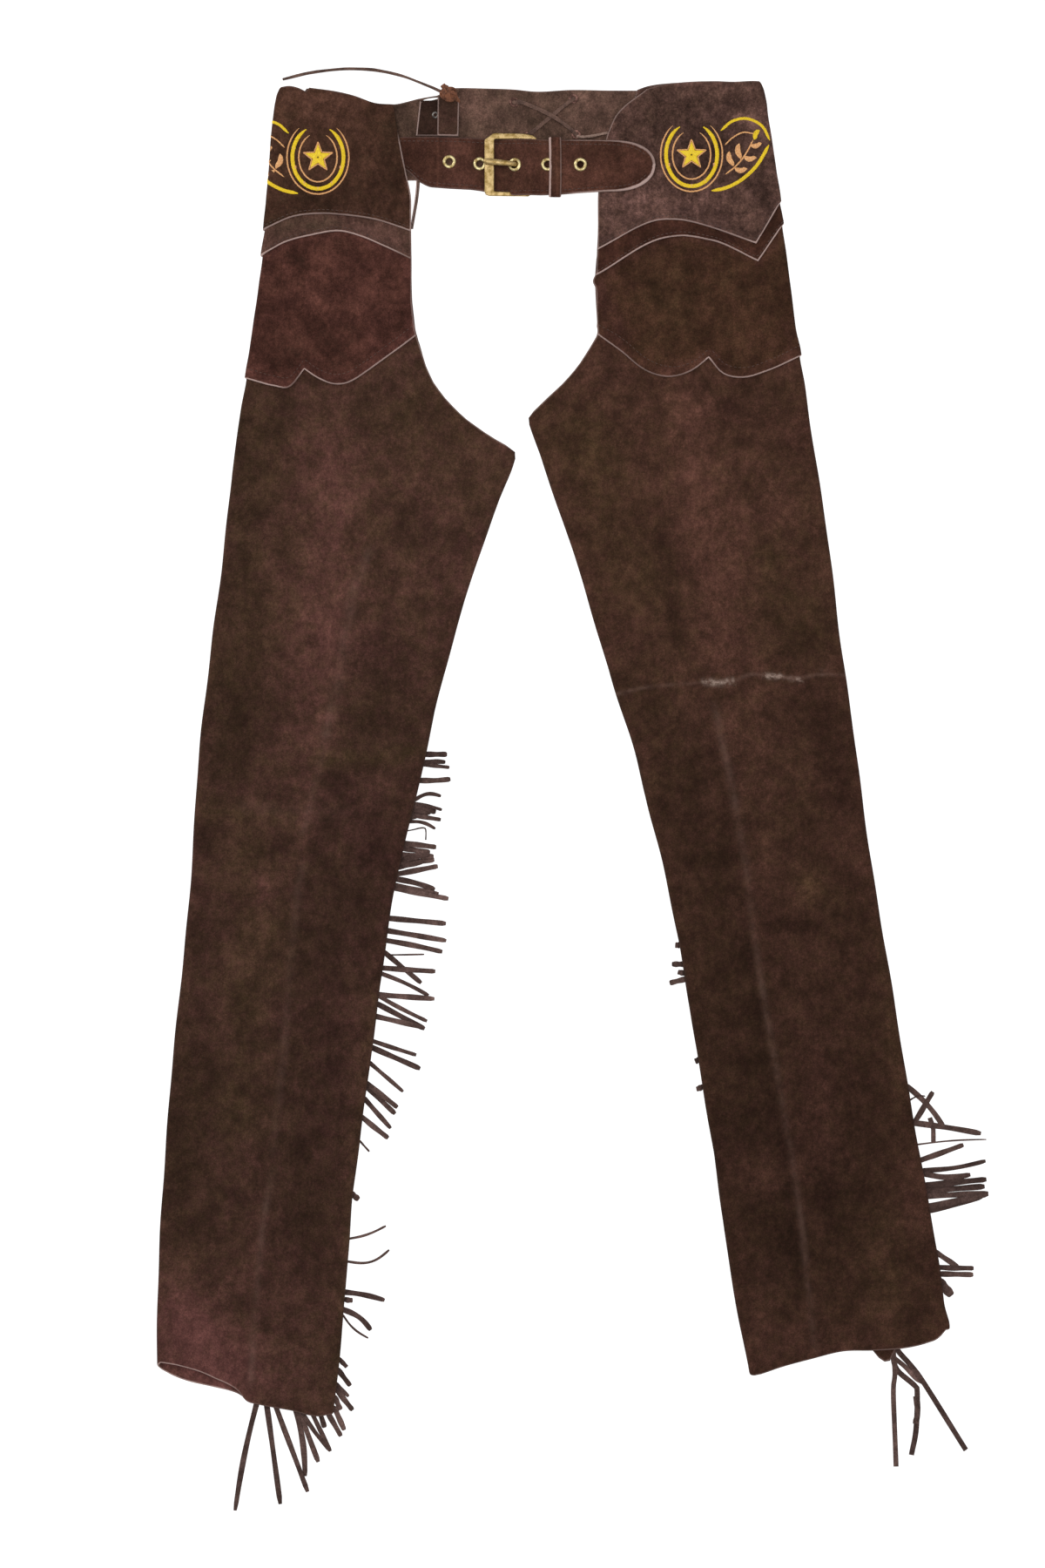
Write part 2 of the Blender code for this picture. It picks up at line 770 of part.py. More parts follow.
def fringe_edge(side, edge, seam_x, dice):
    """One long edge of the backing strip with its strands, from top to foot."""
    outward = 1 if edge == "right" else -1
    outline = [Vector((seam_x(STRIP_TOP) + outward * STRIP_HALF, STRIP_TOP))]
    for group in side.strands:
        if group.edge != edge:
            continue
        count = max(1, round((group.y_from - group.y_to) / group.pitch) + 1)
        for index in range(count):
            share = index / max(1, count - 1)
            y = mix(group.y_from, group.y_to, share)
            lean = mix(group.lean_from, group.lean_to, share)
            lean = math.radians(lean + dice.uniform(-STRAND_LEAN_PLAY, STRAND_LEAN_PLAY))
            reach = mix(group.reach_from, group.reach_to, share) + dice.uniform(*STRAND_REACH_PLAY)
            direction = Vector((outward * math.cos(lean), -math.sin(lean)))
            root = Vector((seam_x(y) + outward * STRIP_HALF, y))
            bend = dice.uniform(-STRAND_BEND, STRAND_BEND)
            outline += strand_outline(root, direction, reach, bend)
    outline.append(Vector((seam_x(side.strip_foot) + outward * STRIP_FOOT_HALF, side.strip_foot)))
    return outline


def build_fringe(side, material, collection):
    def seam_x(y):
        outer = read(side.sections, "y", "outer", y)
        return (outer + read(side.sections, "y", "inner_back", y)) / 2

    dice = random.Random("fringe_" + side.name)
    outline = fringe_edge(side, "right", seam_x, dice)
    outline += fringe_edge(side, "left", seam_x, dice)[::-1]
    mesh_builder = bmesh.new()
    top = FRINGE_FLOOR_GAP + STRAND_THICKNESS
    corners = [mesh_builder.verts.new(Vector((point.x, point.y, top)) * MM) for point in outline]
    mesh_builder.faces.new(corners[::-1])
    mesh = bpy.data.meshes.new("fringe_" + side.name)
    mesh_builder.to_mesh(mesh)
    mesh_builder.free()
    thicken(add_object("fringe_" + side.name, mesh, material, collection), STRAND_THICKNESS)


def build_back_yoke(material, collection):
    outline = []
    for y in YOKE_LEFT_SEAM_Y:
        outline.append((read(LEFT_SECTIONS, "y", "inner_back", y) + YOKE_SEAM_GAP, y))
    outline += YOKE_TOP
    for y in YOKE_RIGHT_SEAM_Y:
        outline.append((read(RIGHT_SECTIONS, "y", "inner_back", y) - YOKE_SEAM_GAP, y))
    holes = [circle(centre, LACE_HOLE, LACE_HOLE_STEPS) for centre in LACE_HOLES]
    mesh = plate_mesh("back_yoke", [outline, *holes], SUEDE)
    mesh.transform(Matrix.Translation((0, 0, SUEDE / 2 * MM)))
    add_object("back_yoke", mesh, material, collection)


def build_side_tab(material, collection):
    (left, right), (low, high) = TAB_X, TAB_Y
    corners = [(left, low), (right, low), (right, high), (left, high)]
    mesh = plate_mesh("side_tab", [corners], SUEDE)
    mesh.transform(Matrix.Translation((0, 0, (SUEDE + SEAM_GAP + SUEDE / 2) * MM)))
    add_object("side_tab", mesh, material, collection)


def belt_at(x, column):
    return read(BELT_PATH, "x", column, x)


def belt_slope(x):
    rise = belt_at(x + 1.0, "z") - belt_at(x - 1.0, "z")
    return math.atan2(rise, 2.0)


def build_belt(material, collection, cutters):
    stations = [point.x for point in BELT_PATH if point.x <= BELT_TIP_START]
    shapes = [(x, 1.0) for x in sorted([*stations, *EYELET_X])]
    tip_length = BELT_PATH[-1].x - BELT_TIP_START
    for turn in BELT_TIP_TURNS:
        angle = math.radians(turn)
        shapes.append((BELT_TIP_START + tip_length * math.sin(angle), math.cos(angle)))
    rows = []
    for x, width_share in shapes:
        half = BELT_WIDTH / 2 * width_share
        y = belt_at(x, "y")
        z = belt_at(x, "z") + BELT_THICKNESS / 2
        rows.append([Vector((x, y + half * across, z)) for across in BELT_RIBS])
    mesh = grid_mesh("belt_strap", rows, flipped=True)
    belt = add_object("belt_strap", mesh, material, collection)
    thicken(belt, BELT_THICKNESS)
    for number, x in enumerate(EYELET_X, 1):
        hole = rod_mesh("belt hole", BELT_HOLE, HOLE_CUTTER_LENGTH, HOLE_STEPS)
        cutter = add_cutter(f"belt hole {number}", hole, cutters)
        cutter.matrix_world = eyelet_place(x)
        boolean(belt, cutter, "DIFFERENCE")


def eyelet_place(x):
    centre = Vector((x, belt_at(x, "y"), belt_at(x, "z")))
    return Matrix.Translation(centre * MM) @ Matrix.Rotation(-belt_slope(x), 4, "Y")


def build_eyelets(material, collection):
    low = -BELT_THICKNESS / 2 - EYELET_ROUNDING / 2
    seat = BELT_THICKNESS / 2 + SEAM_GAP
    profile = (
        (EYELET_BORE, low),
        (EYELET_BORE, seat + EYELET_CROWN - EYELET_ROUNDING),
        (EYELET_BORE + EYELET_ROUNDING, seat + EYELET_CROWN),
        (EYELET_FLANGE - EYELET_ROUNDING, seat + EYELET_CROWN),
        (EYELET_FLANGE, seat),
        (EYELET_BARREL, seat),
        (EYELET_BARREL, low),
    )
    for number, x in enumerate(EYELET_X, 1):
        mesh_builder = bmesh.new()
        points = [mesh_builder.verts.new((radius * MM, 0.0, z * MM)) for radius, z in profile]
        for start, end in zip(points, points[1:] + points[:1]):
            mesh_builder.edges.new((start, end))
        mesh = bpy.data.meshes.new(f"eyelet_{number}")
        mesh_builder.to_mesh(mesh)
        mesh_builder.free()
        eyelet = add_object(f"eyelet_{number}", mesh, material, collection)
        turned = eyelet.modifiers.new("Turned ring", "SCREW")
        turned.steps = turned.render_steps = EYELET_STEPS
        turned.use_merge_vertices = True
        turned.merge_threshold = 0.00001
        turned.use_smooth_shade = True
        eyelet.matrix_world = eyelet_place(x)


def build_buckle_strap(material, collection, cutters):
    """The short strap, rolled round the buckle's heel bar and doubled back on itself."""
    heel = (HEEL_X, HEEL_Z)
    low, high = BUCKLE_STRAP_Z, BUCKLE_STRAP_Z + SUEDE
    step_foot, step_top = BUCKLE_STRAP_STEP
    outline = [(BUCKLE_STRAP_END, low), (BUCKLE_STRAP_END, high), (step_foot, high), (step_top, HEEL_Z)]
    outline += circle(heel, EYE_RADIUS, 11, start=0.0, turn=270.0)
    mesh = plate_mesh("buckle_strap", [outline, circle(heel, EYE_HOLE, 12)], BUCKLE_STRAP_WIDTH)
    upright = Matrix.Rotation(math.pi / 2, 4, "X")
    mesh.transform(Matrix.Translation((0, BUCKLE_STRAP_Y * MM, 0)) @ upright)
    strap = add_object("buckle_strap", mesh, material, collection)
    slot_low = (HEEL_X - EYE_RADIUS - 1, PRONG_SLOT_Y[0], 0.0)
    slot_high = (HEEL_X + EYE_RADIUS + 1, PRONG_SLOT_Y[1], PRONG_SLOT_TOP)
    slot = add_cutter("prong slot", box_mesh("prong slot", slot_low, slot_high), cutters)
    boolean(strap, slot, "DIFFERENCE")


def build_buckle_frame(material, collection, cutters):
    """Flat cast front bar and arms with a round heel bar, tilted to lie on the belt."""
    taper_start, window_end, taper_end = FRAME_ARM_TAPER
    outline = [
        (FRAME_FRONT, FRAME_FOOT + FRAME_CORNER),
        (FRAME_FRONT, FRAME_TOP - FRAME_CORNER),
        (FRAME_FRONT + FRAME_CORNER, FRAME_TOP),
        (taper_start, FRAME_TOP),
        (taper_end, FRAME_TOP - FRAME_SHOULDER),
        (FRAME_BACK, FRAME_TOP - FRAME_SHOULDER - FRAME_CORNER),
        (FRAME_BACK, FRAME_WINDOW_TOP - FRAME_SHOULDER),
        (window_end, FRAME_WINDOW_TOP),
        (FRAME_FRONT + FRAME_BAR, FRAME_WINDOW_TOP),
        (FRAME_FRONT + FRAME_BAR, FRAME_WINDOW_FOOT),
        (FRAME_BACK, FRAME_WINDOW_FOOT),
        (FRAME_BACK, FRAME_FOOT + FRAME_CORNER),
        (taper_end, FRAME_FOOT),
        (FRAME_FRONT + FRAME_CORNER, FRAME_FOOT),
    ]
    mesh = plate_mesh("buckle_frame", [outline], FRAME_THICKNESS)
    frame = add_object("buckle_frame", mesh, material, collection)
    place = Matrix.Translation(Vector((HEEL_X, BUCKLE_Y, HEEL_Z)) * MM)
    frame.matrix_world = place @ Matrix.Rotation(FRAME_TILT, 4, "Y")
    edges = frame.modifiers.new("Cast edges", "BEVEL")
    edges.width = FRAME_EDGE * MM
    edges.segments = 2
    edges.limit_method = "ANGLE"
    heel_length = 2 * (FRAME_WINDOW_TOP + HEEL_OVERHANG)
    heel = add_cutter("heel bar", rod_mesh("heel bar", HEEL_RADIUS, heel_length, 12), cutters)
    heel.matrix_world = place @ Matrix.Rotation(math.pi / 2, 4, "X")
    boolean(frame, heel, "UNION")


def build_prong(material, collection):
    """A wire looped round the heel bar, up through the third eyelet and over to the front bar."""
    heel = (HEEL_X, HEEL_Z)
    loop = circle(heel, PRONG_LOOP_RADIUS, PRONG_LOOP_STEPS, PRONG_LOOP_START, PRONG_LOOP_TURN)
    route = [WirePoint(x, z, PRONG_WIRE) for x, z in loop]
    route += PRONG_ROUTE
    points = [Vector((point.x, PRONG_Y, point.z)) for point in route]
    radii = [point.radius for point in route]
    add_tube("prong", points, radii, material, collection)


def build_keeper(material, collection):
    """The loop that holds the belt's free end, open underneath."""
    low, high = KEEPER_Y
    shoulder = KEEPER_TOP - KEEPER_CORNER
    section = [(low, KEEPER_FOOT), (low, shoulder), (low + KEEPER_CORNER, KEEPER_TOP)]
    section += [(high - KEEPER_CORNER, KEEPER_TOP), (high, shoulder), (high, KEEPER_FOOT + KEEPER_RETURN)]
    rows = [[Vector((x, y, z)) for y, z in section] for x in KEEPER_X]
    keeper = add_object("belt_keeper", grid_mesh("belt_keeper", rows), material, collection)
    thicken(keeper, SUEDE)


def build_laces(lace, knot_leather, collection):
    upper_left, upper_right, lower_right, lower_left = LACE_HOLES
    level = LACE_ON_YOKE
    eased = level + LACE_OVER_EASE
    runs = {
        "lace_cross_under": [(*upper_left, level), (*LACE_CROSSING, level), (*lower_right, level)],
        "lace_cross_over": [
            (*upper_right, level),
            (*LACE_OVER_UPPER, eased),
            (*LACE_CROSSING, level + LACE_OVER_RISE),
            (*LACE_OVER_LOWER, eased),
            (*lower_left, level),
        ],
        "lace_run": [(*place, level) for place in LACE_RUN],
    }
    for name, places in runs.items():
        points = smooth_route([Vector(place) for place in places], RUN_POINTS)
        add_tube(name, points, [LACE_RADIUS] * len(points), lace, collection)
    tail = smooth_route([Vector(place) for place in TAIL_ROUTE], TAIL_POINTS)
    add_tube("lace_tail", tail, [LACE_RADIUS] * len(tail), lace, collection)
    mesh_builder = bmesh.new()
    bmesh.ops.create_uvsphere(mesh_builder, u_segments=12, v_segments=8, radius=1.0)
    for vertex in mesh_builder.verts:
        turn = math.atan2(vertex.co.y, vertex.co.x)
        wave = math.sin(KNOT_STRANDS * turn + KNOT_TWIST * vertex.co.z)
        vertex.co *= 1 - KNOT_GROOVE * (1 + wave)
        vertex.co = Vector([c * half * MM for c, half in zip(vertex.co, KNOT_HALF)])
    mesh = bpy.data.meshes.new("lace_knot")
    mesh_builder.to_mesh(mesh)
    mesh_builder.free()
    knot = add_object("lace_knot", mesh, knot_leather, collection)
    knot.location = Vector(KNOT_AT) * MM


def main():
    for old in list(bpy.data.objects):
        bpy.data.objects.remove(old)
    scene = bpy.context.scene
    chaps = bpy.data.collections.new("leather_chaps")
    cutters = bpy.data.collections.new("cutters")
    scene.collection.children.link(chaps)
    scene.collection.children.link(cutters)

    leg_suede = make_material("leg_suede", SUEDE_BROWN, 0.95)
    overlay_suede = make_material("overlay_suede", SUEDE_BROWN, 0.95)
    band_suede = make_material("band_suede", SUEDE_DARK, 0.95)
    belt_suede = make_material("belt_suede", SUEDE_BROWN, 0.9)
    fringe_suede = make_material("fringe_suede", SUEDE_DARK, 0.95)
    lace_leather = make_material("lace_leather", LACE_BROWN, 0.8)
    knot_leather = make_material("knot_leather", KNOT_TAN, 0.85)
    brass = make_material("brass", ANTIQUE_BRASS, 0.4, metallic=1.0)

    for side in (LEFT, RIGHT):
        build_leg(side, leg_suede, chaps)
        hip = ("hip_yoke_" + side.name, side, side.hip_top, side.hip_edge)
        band = ("hip_band_" + side.name, side, side.hip_edge, side.band_edge)
        thigh = ("thigh_overlay_" + side.name, side, side.band_edge, side.thigh_edge)
        build_overlay(*hip, HIP_SHARES, False, overlay_suede, chaps)
        build_overlay(*band, BAND_SHARES, True, band_suede, chaps)
        build_overlay(*thigh, THIGH_SHARES, True, overlay_suede, chaps)
        build_fringe(side, fringe_suede, chaps)
    build_back_yoke(leg_suede, chaps)
    build_side_tab(band_suede, chaps)
    build_belt(belt_suede, chaps, cutters)
    build_eyelets(brass, chaps)
    build_buckle_strap(belt_suede, chaps, cutters)
    build_buckle_frame(brass, chaps, cutters)
    build_prong(brass, chaps)
    build_keeper(belt_suede, chaps)
    build_laces(lace_leather, knot_leather, chaps)


main()
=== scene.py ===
import math
import random

import bmesh
import bpy
import numpy as np
from mathutils import Matrix, Vector


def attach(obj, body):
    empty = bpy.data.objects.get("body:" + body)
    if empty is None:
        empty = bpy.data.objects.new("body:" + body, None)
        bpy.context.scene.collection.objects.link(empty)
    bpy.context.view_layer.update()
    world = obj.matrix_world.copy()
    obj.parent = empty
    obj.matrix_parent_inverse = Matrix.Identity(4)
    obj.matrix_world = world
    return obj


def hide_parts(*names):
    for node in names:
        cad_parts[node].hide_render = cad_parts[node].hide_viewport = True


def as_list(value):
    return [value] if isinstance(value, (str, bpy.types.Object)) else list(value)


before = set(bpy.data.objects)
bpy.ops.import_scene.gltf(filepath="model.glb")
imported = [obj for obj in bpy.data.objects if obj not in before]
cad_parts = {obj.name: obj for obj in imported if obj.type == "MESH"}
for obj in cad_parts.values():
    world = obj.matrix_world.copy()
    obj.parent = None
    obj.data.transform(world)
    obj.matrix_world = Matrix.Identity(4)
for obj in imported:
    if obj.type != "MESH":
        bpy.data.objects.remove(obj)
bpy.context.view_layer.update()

# X runs across the chaps, Y from hem to waist, Z up from the floor; left and right are as laid.
# The chaps are sized in millimetres, and scaled to metres when their meshes are made.
mm = 0.001
dice = random.Random(41)


def addObject(name, data):
    thing = bpy.data.objects.new(name, data)
    bpy.context.scene.collection.objects.link(thing)
    return thing


def newMaterial(name, shaderInputs):
    material = bpy.data.materials.new(name)
    material.use_nodes = True
    shader = material.node_tree.nodes["Principled BSDF"]
    for key, value in shaderInputs.items():
        shader.inputs[key].default_value = value
    return material, material.node_tree, shader


# camera, floor and light
view = {"middle": (-38.7, 11.3), "frameHeight": 1200.0, "lens": 85.0, "sensor": 36.0}
studio = {
    # metres
    "floorSize": 9.0,
    "floorLevel": -0.0003,
    "floorColour": (0.35, 0.35, 0.35, 1.0),
    # the floor glows faintly so that it stays plain white up to the leather
    "floorGlow": 0.93,
    "worldColour": (0.97, 0.98, 1.0, 1.0),
    "worldStrength": 0.62,
    # name: place, aimed at the middle of the chaps, size and power
    "lamps": {
        "overheadBox": ((0.0, 0.2, 3.2), 2.6, 34.0),
        "waistBox": ((-2.2, 1.9, 1.7), 1.5, 26.0),
        "hemBox": ((1.9, -2.4, 1.5), 1.3, 9.0),
    },
}


def makeCamera():
    data = bpy.data.cameras.new("overheadCamera")
    data.lens = view["lens"]
    data.sensor_fit = "VERTICAL"
    data.sensor_height = view["sensor"]
    camera = addObject("overheadCamera", data)
    height = view["frameHeight"] * view["lens"] / view["sensor"]
    camera.location = Vector((*view["middle"], height)) * mm
    bpy.context.scene.camera = camera


def makeStudio():
    scene = bpy.context.scene
    scene.view_settings.view_transform = "Standard"
    world = bpy.data.worlds.new("studioWorld")
    world.use_nodes = True
    back = world.node_tree.nodes["Background"]
    back.inputs["Color"].default_value = studio["worldColour"]
    back.inputs["Strength"].default_value = studio["worldStrength"]
    scene.world = world
    for name, (place, size, power) in studio["lamps"].items():
        data = bpy.data.lights.new(name, "AREA")
        data.size = size
        data.energy = power
        lamp = addObject(name, data)
        lamp.location = place
        lamp.rotation_euler = (-Vector(place)).to_track_quat("-Z", "Y").to_euler()
    half, level = studio["floorSize"] / 2, studio["floorLevel"]
    mesh = bpy.data.meshes.new("paleFloor")
    corners = [(-half, -half, level), (half, -half, level), (half, half, level), (-half, half, level)]
    mesh.from_pydata(corners, [], [(0, 1, 2, 3)])
    finish = {"Base Color": studio["floorColour"], "Roughness": 0.95, "Specular IOR Level": 0.1}
    finish |= {"Emission Color": (1.0, 1.0, 1.0, 1.0), "Emission Strength": studio["floorGlow"]}
    mesh.materials.append(newMaterial("paleFloor", finish)[0])
    addObject("paleFloor", mesh)


makeCamera()
makeStudio()
print("camera and studio made")


# shader helpers and shared groups
def paint(red, green, blue):
    # display colour 0 to 255, to the linear colour that sockets take
    shares = [part / 255 for part in (red, green, blue)]
    return (*(s / 12.92 if s < 0.04045 else ((s + 0.055) / 1.055) ** 2.4 for s in shares), 1.0)


def addNode(tree, kind, inputs=None, **settings):
    node = tree.nodes.new(kind)
    for key, value in settings.items():
        setattr(node, key, value)
    for key, value in (inputs or {}).items():
        if isinstance(value, bpy.types.NodeSocket):
            tree.links.new(value, node.inputs[key])
        else:
            node.inputs[key].default_value = value
    node.location = (len(tree.nodes) * 170 - 900, 0)
    return node


def newGroup(name, takes, gives):
    # the group, the values it is given, and the inputs of what it puts out
    group = bpy.data.node_groups.new(name, "ShaderNodeTree")
    kinds = {float: "NodeSocketFloat", tuple: "NodeSocketColor"}
    for label, value in takes.items():
        socket = group.interface.new_socket(name=label, in_out="INPUT", socket_type=kinds[type(value)])
        socket.default_value = value
    for label, kind in gives.items():
        group.interface.new_socket(name=label, in_out="OUTPUT", socket_type=kind)
    given, out = addNode(group, "NodeGroupInput"), addNode(group, "NodeGroupOutput")
    return group, given.outputs, out.inputs


def remap(tree, value, low, high, newLow, newHigh):
    inputs = {0: value, 1: low, 2: high, 3: newLow, 4: newHigh}
    return addNode(tree, "ShaderNodeMapRange", inputs, interpolation_type="SMOOTHSTEP").outputs[0]


def swing(tree, value, spread):
    # a noise about a half, spread out to -1 and 1
    return remap(tree, value, 0.5 - spread, 0.5 + spread, -1.0, 1.0)


def blendColour(tree, share, first, second):
    return addNode(tree, "ShaderNodeMix", {0: share, 6: first, 7: second}, data_type="RGBA").outputs[2]


def maths(tree, operation, first, second, clamp=False):
    inputs = {0: first, 1: second}
    return addNode(tree, "ShaderNodeMath", inputs, operation=operation, use_clamp=clamp).outputs[0]


def add(tree, first, second):
    return maths(tree, "ADD", first, second)


def times(tree, first, second, clamp=False):
    return maths(tree, "MULTIPLY", first, second, clamp)


def weighted(tree, *pairs):
    # the sum of each value times its amount
    total = times(tree, *pairs[0])
    for pair in pairs[1:]:
        total = add(tree, total, times(tree, *pair))
    return total


def objectPlace(tree):
    return addNode(tree, "ShaderNodeTexCoord").outputs["Object"]


def shiftedPlace(tree, seed):
    shift = addNode(tree, "ShaderNodeCombineXYZ", {0: seed, 1: seed, 2: seed}).outputs[0]
    inputs = {0: objectPlace(tree), 1: shift}
    return addNode(tree, "ShaderNodeVectorMath", inputs, operation="ADD").outputs[0]


def noise(tree, place, scale, detail, roughness):
    inputs = {"Vector": place, "Scale": scale, "Detail": detail, "Roughness": roughness}
    return addNode(tree, "ShaderNodeTexNoise", inputs).outputs[0]


def makeSuedeGroup():
    # brushed nap: colour leans from olive to warm in clouds, with hand marks of every size and a short pile
    takes = {"Base": (0.05, 0.03, 0.02, 1.0), "Warm": (0.1, 0.04, 0.03, 1.0)}
    takes |= {"Olive": (0.04, 0.03, 0.01, 1.0)}
    takes |= {"Cloud Scale": 15.0, "Cloud Amount": 0.18, "Hue Scale": 120.0, "Hue Amount": 0.3}
    takes |= {"Mark Scale": 62.0, "Mark Amount": 0.6, "Nap Scale": 900.0, "Nap Amount": 0.26}
    takes |= {"Broad Scale": 34.0, "Broad Amount": 0.13, "Tone": 0.0, "Warmth": 0.0, "Seed": 0.0}
    gives = {"Color": "NodeSocketColor", "Height": "NodeSocketFloat"}
    group, take, out = newGroup("suedeNap", takes, gives)
    place = shiftedPlace(group, take["Seed"])
    other = shiftedPlace(group, add(group, take["Seed"], 3.7))
    stretch = {0: other, 1: (1.0, 0.8, 1.0)}
    drawn = addNode(group, "ShaderNodeVectorMath", stretch, operation="MULTIPLY").outputs[0]
    nap = noise(group, place, take["Nap Scale"], 4.0, 0.75)
    clouds = swing(group, noise(group, place, take["Cloud Scale"], 3.0, 0.6), 0.15)
    hues = swing(group, noise(group, place, take["Hue Scale"], 4.0, 0.85), 0.15)
    marks = swing(group, noise(group, drawn, take["Mark Scale"], 7.0, 0.92), 0.22)
    broad = swing(group, noise(group, other, take["Broad Scale"], 2.0, 0.6), 0.2)
    grains = swing(group, nap, 0.22)
    lean = weighted(group, (clouds, take["Cloud Amount"]), (hues, take["Hue Amount"]))
    lean = add(group, lean, take["Warmth"])
    colour = blendColour(group, times(group, lean, -1.0, clamp=True), take["Base"], take["Olive"])
    colour = blendColour(group, times(group, lean, 1.0, clamp=True), colour, take["Warm"])
    amounts = (marks, take["Mark Amount"]), (grains, take["Nap Amount"]), (broad, take["Broad Amount"])
    # as a power, dark and light marks look equally strong
    shade = maths(group, "POWER", 2.7, weighted(group, *amounts))
    shade = times(group, shade, maths(group, "MAXIMUM", add(group, take["Tone"], 1.0), 0.15))
    shaded = addNode(group, "ShaderNodeVectorMath", {0: colour, "Scale": shade}, operation="SCALE")
    group.links.new(shaded.outputs[0], out["Color"])
    group.links.new(nap, out["Height"])
    return group


def makeRawEdgeGroup():
    # the pale cut edge, as wide as Width millimetres and a little ragged
    takes = {"Distance": 9.0, "Light": 1.0, "Width": 1.2, "Fray": 0.6}
    group, take, out = newGroup("rawEdge", takes, {"Mask": "NodeSocketFloat"})
    fray = noise(group, shiftedPlace(group, 0.3), 420.0, 3.0, 0.7)
    wander = noise(group, shiftedPlace(group, 1.9), 60.0, 2.0, 0.6)
    fray = add(group, add(group, fray, wander), -1.0)
    edge = add(group, take["Distance"], times(group, fray, take["Fray"]))
    mask = maths(group, "SUBTRACT", 1.0, maths(group, "DIVIDE", edge, take["Width"]), clamp=True)
    mask = remap(group, mask, 0.0, 0.45, 0.0, 1.0)
    group.links.new(times(group, mask, take["Light"]), out["Mask"])
    return group


def makeRubGroup():
    # broken rub marks where the pile is worn along a crease
    takes = {"Amount": 0.0, "Scale": 140.0, "Break": 1.0}
    group, take, out = newGroup("rubMarks", takes, {"Mask": "NodeSocketFloat"})
    spots = swing(group, noise(group, shiftedPlace(group, 5.2), take["Scale"], 6.0, 0.75), 0.2)
    spots = add(group, times(group, spots, take["Break"]), 1.0)
    group.links.new(times(group, spots, take["Amount"], clamp=True), out["Mask"])
    return group


groups = {"suede": makeSuedeGroup(), "edge": makeRawEdgeGroup(), "rub": makeRubGroup()}


def useGroup(tree, name, inputs):
    return addNode(tree, "ShaderNodeGroup", inputs, node_tree=groups[name]).outputs


def attribute(tree, name):
    return addNode(tree, "ShaderNodeAttribute", attribute_name=name).outputs["Fac"]


def colourAndBump(tree, shader, colour, strength, depth, height):
    tree.links.new(colour, shader.inputs["Base Color"])
    bump = addNode(tree, "ShaderNodeBump", {"Strength": strength, "Distance": depth, "Height": height})
    tree.links.new(bump.outputs[0], shader.inputs["Normal"])


# suede finishes
suedeFinish = {
    "roughness": 0.95,
    "specular": 0.02,
    "sheen": 0.02,
    "sheenRoughness": 0.6,
    "bump": 0.5,
    "bumpDepth": 0.0005,
    "edgeColour": paint(178, 152, 144),
    "rubColour": paint(118, 92, 82),
    "scuffColour": paint(168, 147, 134),
}
suedeTones = {
    # name: base, warm end, olive end, warmth, strength of the marks, seed
    "legLeftSuede": ((65, 44, 35), (79, 49, 45), (60, 45, 30), 0.05, 1.0, 0.0),
    "legRightSuede": ((61, 40, 31), (76, 48, 41), (58, 42, 28), -0.05, 1.0, 2.1),
    "yokeLeftSuede": ((64, 42, 32), (80, 53, 44), (58, 43, 31), 0.0, 1.15, 4.3),
    "yokeRightSuede": ((77, 55, 48), (92, 66, 61), (69, 51, 42), 0.0, 1.65, 6.4),
    "thighLeftSuede": ((65, 39, 32), (75, 45, 39), (57, 39, 31), 0.1, 1.25, 8.8),
    "thighRightSuede": ((60, 39, 28), (69, 43, 36), (57, 41, 27), -0.1, 1.1, 1.2),
    "bandLeftSuede": ((80, 56, 48), (93, 65, 58), (72, 55, 44), 0.0, 1.15, 3.3),
    "bandRightSuede": ((60, 37, 28), (70, 41, 35), (55, 38, 28), 0.0, 1.1, 4.9),
    "tabSuede": ((60, 42, 34), (72, 48, 42), (54, 41, 32), 0.0, 1.0, 3.3),
    "backYokeSuede": ((85, 64, 54), (97, 71, 62), (76, 60, 48), 0.0, 1.3, 7.7),
    "beltSuede": ((69, 43, 34), (80, 50, 42), (61, 41, 30), 0.0, 1.1, 5.9),
    "fringeSuede": ((80, 62, 57), (98, 77, 72), (70, 56, 50), 0.0, 1.0, 9.1),
}


def makeSuede(name):
    base, warm, olive, warmth, marks, seed = suedeTones[name]
    finish = suedeFinish
    constants = {"Roughness": finish["roughness"], "Specular IOR Level": finish["specular"]}
    constants |= {"Sheen Weight": finish["sheen"], "Sheen Roughness": finish["sheenRoughness"]}
    material, tree, shader = newMaterial(name, constants)
    # the tone attribute holds the nap's patches and also painted light and shade: by height on the legs, dark
    # lines along creases, and the darkened side tab
    nap = useGroup(tree, "suede", {
        "Base": paint(*base), "Warm": paint(*warm), "Olive": paint(*olive), "Seed": seed,
        "Tone": attribute(tree, "tone"), "Warmth": add(tree, attribute(tree, "warmth"), warmth),
        "Mark Amount": 0.6 * marks,
    })
    rub = {"Amount": attribute(tree, "rub"), "Scale": 90.0, "Break": 0.8}
    scuff = {"Amount": attribute(tree, "scuff"), "Scale": 210.0, "Break": 1.6}
    edge = {"Distance": attribute(tree, "edgeDistance"), "Light": attribute(tree, "edgeLight")}
    # masks over the nap, and the colour that each brings
    layers = (("rub", rub, "rubColour"), ("rub", scuff, "scuffColour"), ("edge", edge, "edgeColour"))
    colour = nap["Color"]
    for group, inputs, over in layers:
        colour = blendColour(tree, useGroup(tree, group, inputs)[0], colour, finish[over])
    colourAndBump(tree, shader, colour, finish["bump"], finish["bumpDepth"], nap["Height"])
    return material


suedes = {name: makeSuede(name) for name in suedeTones}


def twoTones(tree, share, dark, bright):
    return blendColour(tree, share, paint(*dark), paint(*bright))


